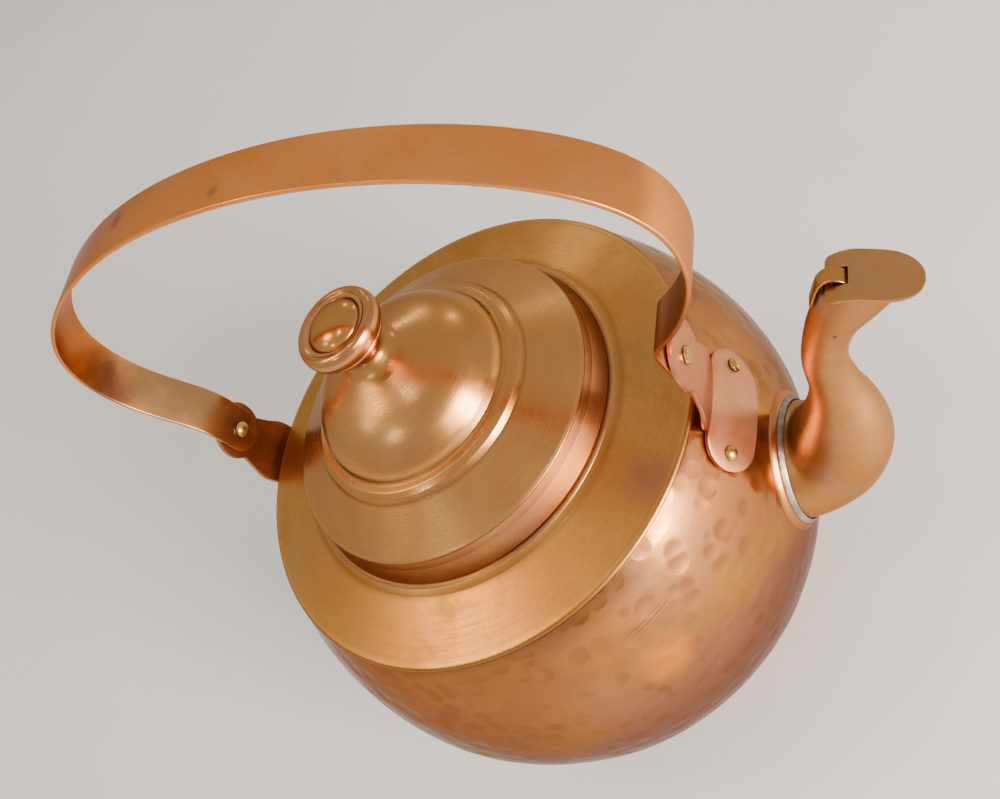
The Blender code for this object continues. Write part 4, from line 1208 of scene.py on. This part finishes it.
def tongue_path():
    """Points up the back of the spout and round the hinge bar, as (x, z)."""
    floor = HINGE.z - 1.85
    back_line = [np.array(spout_ring(station)[0])[[0, 2]] for station in spout_stations(0.0)]
    tail = []
    for before, point, after in zip(back_line, back_line[1:], back_line[2:]):
        run = (after - before) / np.linalg.norm(after - before)
        if floor - 6.5 < point[1] < floor - 1.0:
            tail.append((point[0] - run[1] * 0.85, point[1] + run[0] * 0.85))
    curl = [(HINGE.x + CURL_RADIUS * out, HINGE.z + CURL_RADIUS * up)
            for out, up in ((-1.02, 0.02), (-0.56, 0.64), (0.10, 0.98), (0.73, 0.78))]
    curl += [(HINGE.x + 4.45, HINGE.z + CURL_RADIUS * 0.38), (HINGE.x + 4.75, HINGE.z + 0.4)]
    return smooth_path(tail + curl, 5)


def build_tongue():
    material = brushed_copper("tongue_copper", paint("golden", 1.05, 1.02, 0.95), 0.22, (0.4, 2.0, 0.4))
    path = tongue_path()
    tongue = strap_piece("hinge_tongue", path, [TONGUE_HALF_WIDTH] * len(path), TONGUE_SHEET, material)
    finish_piece(tongue, "kettle", "tongue_copper", "flap_tongue")


# ---- stage ------------------------------------------------------------------
def area_light(name, azimuth, elevation, distance, width, height, power, colour):
    """A soft box that looks at the kettle from a direction."""
    target = Vector((0.02, 0.0, 0.14))
    turn, lift = math.radians(azimuth), math.radians(elevation)
    way = Vector((math.cos(turn) * math.cos(lift), math.sin(turn) * math.cos(lift), math.sin(lift)))
    light = bpy.data.lights.new(name, "AREA")
    light.shape = "RECTANGLE" if name == "window" else "ELLIPSE"
    light.size = width
    light.size_y = height
    light.energy = power
    light.color = colour
    lamp = link(bpy.data.objects.new(name, light))
    facing = way.to_track_quat("Z", "Y").to_matrix().to_4x4()
    lamp.matrix_world = Matrix.Translation(target + way * distance) @ facing


def stage_floor():
    """A wide pale floor just under the kettle."""
    s = Shading("pale_floor")
    tone = s.noise(160.0, 2.0, 0.5)
    base = s.mix(s.step(tone, 0.35, 0.65), (0.84, 0.84, 0.84), (0.86, 0.86, 0.86))
    material = s.finish(base, 0.85, None, 0.0, (1.0, 1.0, 1.0))
    half, below = 6000.0, -0.1
    corners = [(-half, -half, below), (half, -half, below), (half, half, below), (-half, half, below)]
    new_piece("floor", corners, [(0, 1, 2, 3)], material, smooth=False)


def stage_lights():
    """Soft surroundings, a tall window, a side panel, a warm overhead panel and five small lamps."""
    world = bpy.data.worlds.new("soft_studio")
    bpy.context.scene.world = world
    world.use_nodes = True
    background = world.node_tree.nodes["Background"]
    background.inputs["Color"].default_value = (1.0, 0.97, 0.93, 1.0)
    background.inputs["Strength"].default_value = 0.66
    area_light("window", -21.0, 13.0, 1.5, 0.50, 0.85, 56.0, (1.0, 0.94, 0.85))
    area_light("side_panel", -42.0, 22.0, 1.9, 0.35, 0.5, 4.0, (1.0, 0.95, 0.86))
    area_light("overhead", -168.0, 60.0, 1.7, 0.55, 0.45, 6.4, (1.0, 0.76, 0.42))
    lamps = ((-88.0, 83.0, 0.12, 1.6), (-148.0, 46.0, 0.10, 1.1), (-109.0, 44.0, 0.14, 1.8),
             (81.0, 21.0, 0.10, 0.9), (106.0, 26.0, 0.10, 0.9))
    for azimuth, elevation, size, power in lamps:
        area_light("lamp", azimuth, elevation, 1.9, size, size, power, (1.0, 0.96, 0.88))


def stage_camera():
    """A camera that looks down on the spout side of the kettle."""
    camera = bpy.data.cameras.new("camera")
    camera.lens = 36.0
    camera.sensor_width = 36.0
    camera.clip_start = 0.01
    view = link(bpy.data.objects.new("camera", camera))
    right = Vector((0.8408, 0.1344, -0.5243))
    up = Vector((0.1338, 0.887, 0.442))
    behind = Vector((0.5245, -0.4418, 0.7278))
    turn = Matrix((right, up, behind)).transposed().to_4x4()
    view.matrix_world = Matrix.Translation(Vector((0.22754, -0.16880, 0.45483))) @ turn
    bpy.context.scene.camera = view


# ---- operators --------------------------------------------------------------
class KettleStep:
    """Runs a step's builders in order; a builder that fails stops the step with its error."""

    def execute(self, context):
        for build in self.builders:
            build()
        return {"FINISHED"}


class KETTLE_OT_vessel(KettleStep, bpy.types.Operator):
    """Build the hammered vessel and its base plate"""
    bl_idname = "kettle.vessel"
    bl_label = "Vessel"
    builders = (build_vessel, build_base)


class KETTLE_OT_shoulder(KettleStep, bpy.types.Operator):
    """Build the turned shoulder and the mouth collar"""
    bl_idname = "kettle.shoulder"
    bl_label = "Shoulder and collar"
    builders = (build_shoulder, build_collar)


class KETTLE_OT_lid(KettleStep, bpy.types.Operator):
    """Build the stepped dome lid and its knob"""
    bl_idname = "kettle.lid"
    bl_label = "Lid"
    builders = (build_lid_top, build_lid_band, build_lid_sleeve, build_knob, build_stud)


class KETTLE_OT_brackets(KettleStep, bpy.types.Operator):
    """Build the two handle brackets"""
    bl_idname = "kettle.brackets"
    bl_label = "Brackets"
    builders = (build_brackets,)


class KETTLE_OT_rivets(KettleStep, bpy.types.Operator):
    """Build the foot rivets and the handle pivots"""
    bl_idname = "kettle.rivets"
    bl_label = "Rivets"
    builders = (build_rivets,)


class KETTLE_OT_handle(KettleStep, bpy.types.Operator):
    """Build the strap handle"""
    bl_idname = "kettle.handle"
    bl_label = "Handle"
    builders = (build_handle,)


class KETTLE_OT_spout(KettleStep, bpy.types.Operator):
    """Build the swan-neck spout with its lip and solder"""
    bl_idname = "kettle.spout"
    bl_label = "Spout"
    builders = (build_spout, build_spout_joint)


class KETTLE_OT_flap(KettleStep, bpy.types.Operator):
    """Build the hinged spout flap and the tongue that holds it"""
    bl_idname = "kettle.flap"
    bl_label = "Flap"
    builders = (build_flap, build_tongue)


class KETTLE_OT_stage(KettleStep, bpy.types.Operator):
    """Build the floor, the lights and the camera"""
    bl_idname = "kettle.stage"
    bl_label = "Stage"
    builders = (stage_floor, stage_lights, stage_camera)


STEPS = (KETTLE_OT_stage, KETTLE_OT_vessel, KETTLE_OT_shoulder, KETTLE_OT_lid, KETTLE_OT_brackets,
         KETTLE_OT_rivets, KETTLE_OT_handle, KETTLE_OT_spout, KETTLE_OT_flap)


class KETTLE_PT_panel(bpy.types.Panel):
    """Lists the kettle's sizes, colours and steps"""
    bl_idname = "KETTLE_PT_panel"
    bl_label = "Copper Kettle"
    bl_space_type = "VIEW_3D"
    bl_region_type = "UI"
    bl_category = "Kettle"

    def draw(self, context):
        for name in KettleSettings.__annotations__:
            self.layout.prop(context.scene.kettle_settings, name)
        for step in STEPS:
            self.layout.operator(step.bl_idname)


CLASSES = (KettleSettings, *STEPS, KETTLE_PT_panel)


def register():
    for cls in CLASSES:
        bpy.utils.register_class(cls)
    bpy.types.Scene.kettle_settings = bpy.props.PointerProperty(type=KettleSettings)


def unregister():
    del bpy.types.Scene.kettle_settings
    for cls in reversed(CLASSES):
        bpy.utils.unregister_class(cls)


def main():
    register()
    for step in STEPS:
        group, name = step.bl_idname.split(".")
        getattr(getattr(bpy.ops, group), name)()


if __name__ == "__main__":
    main()
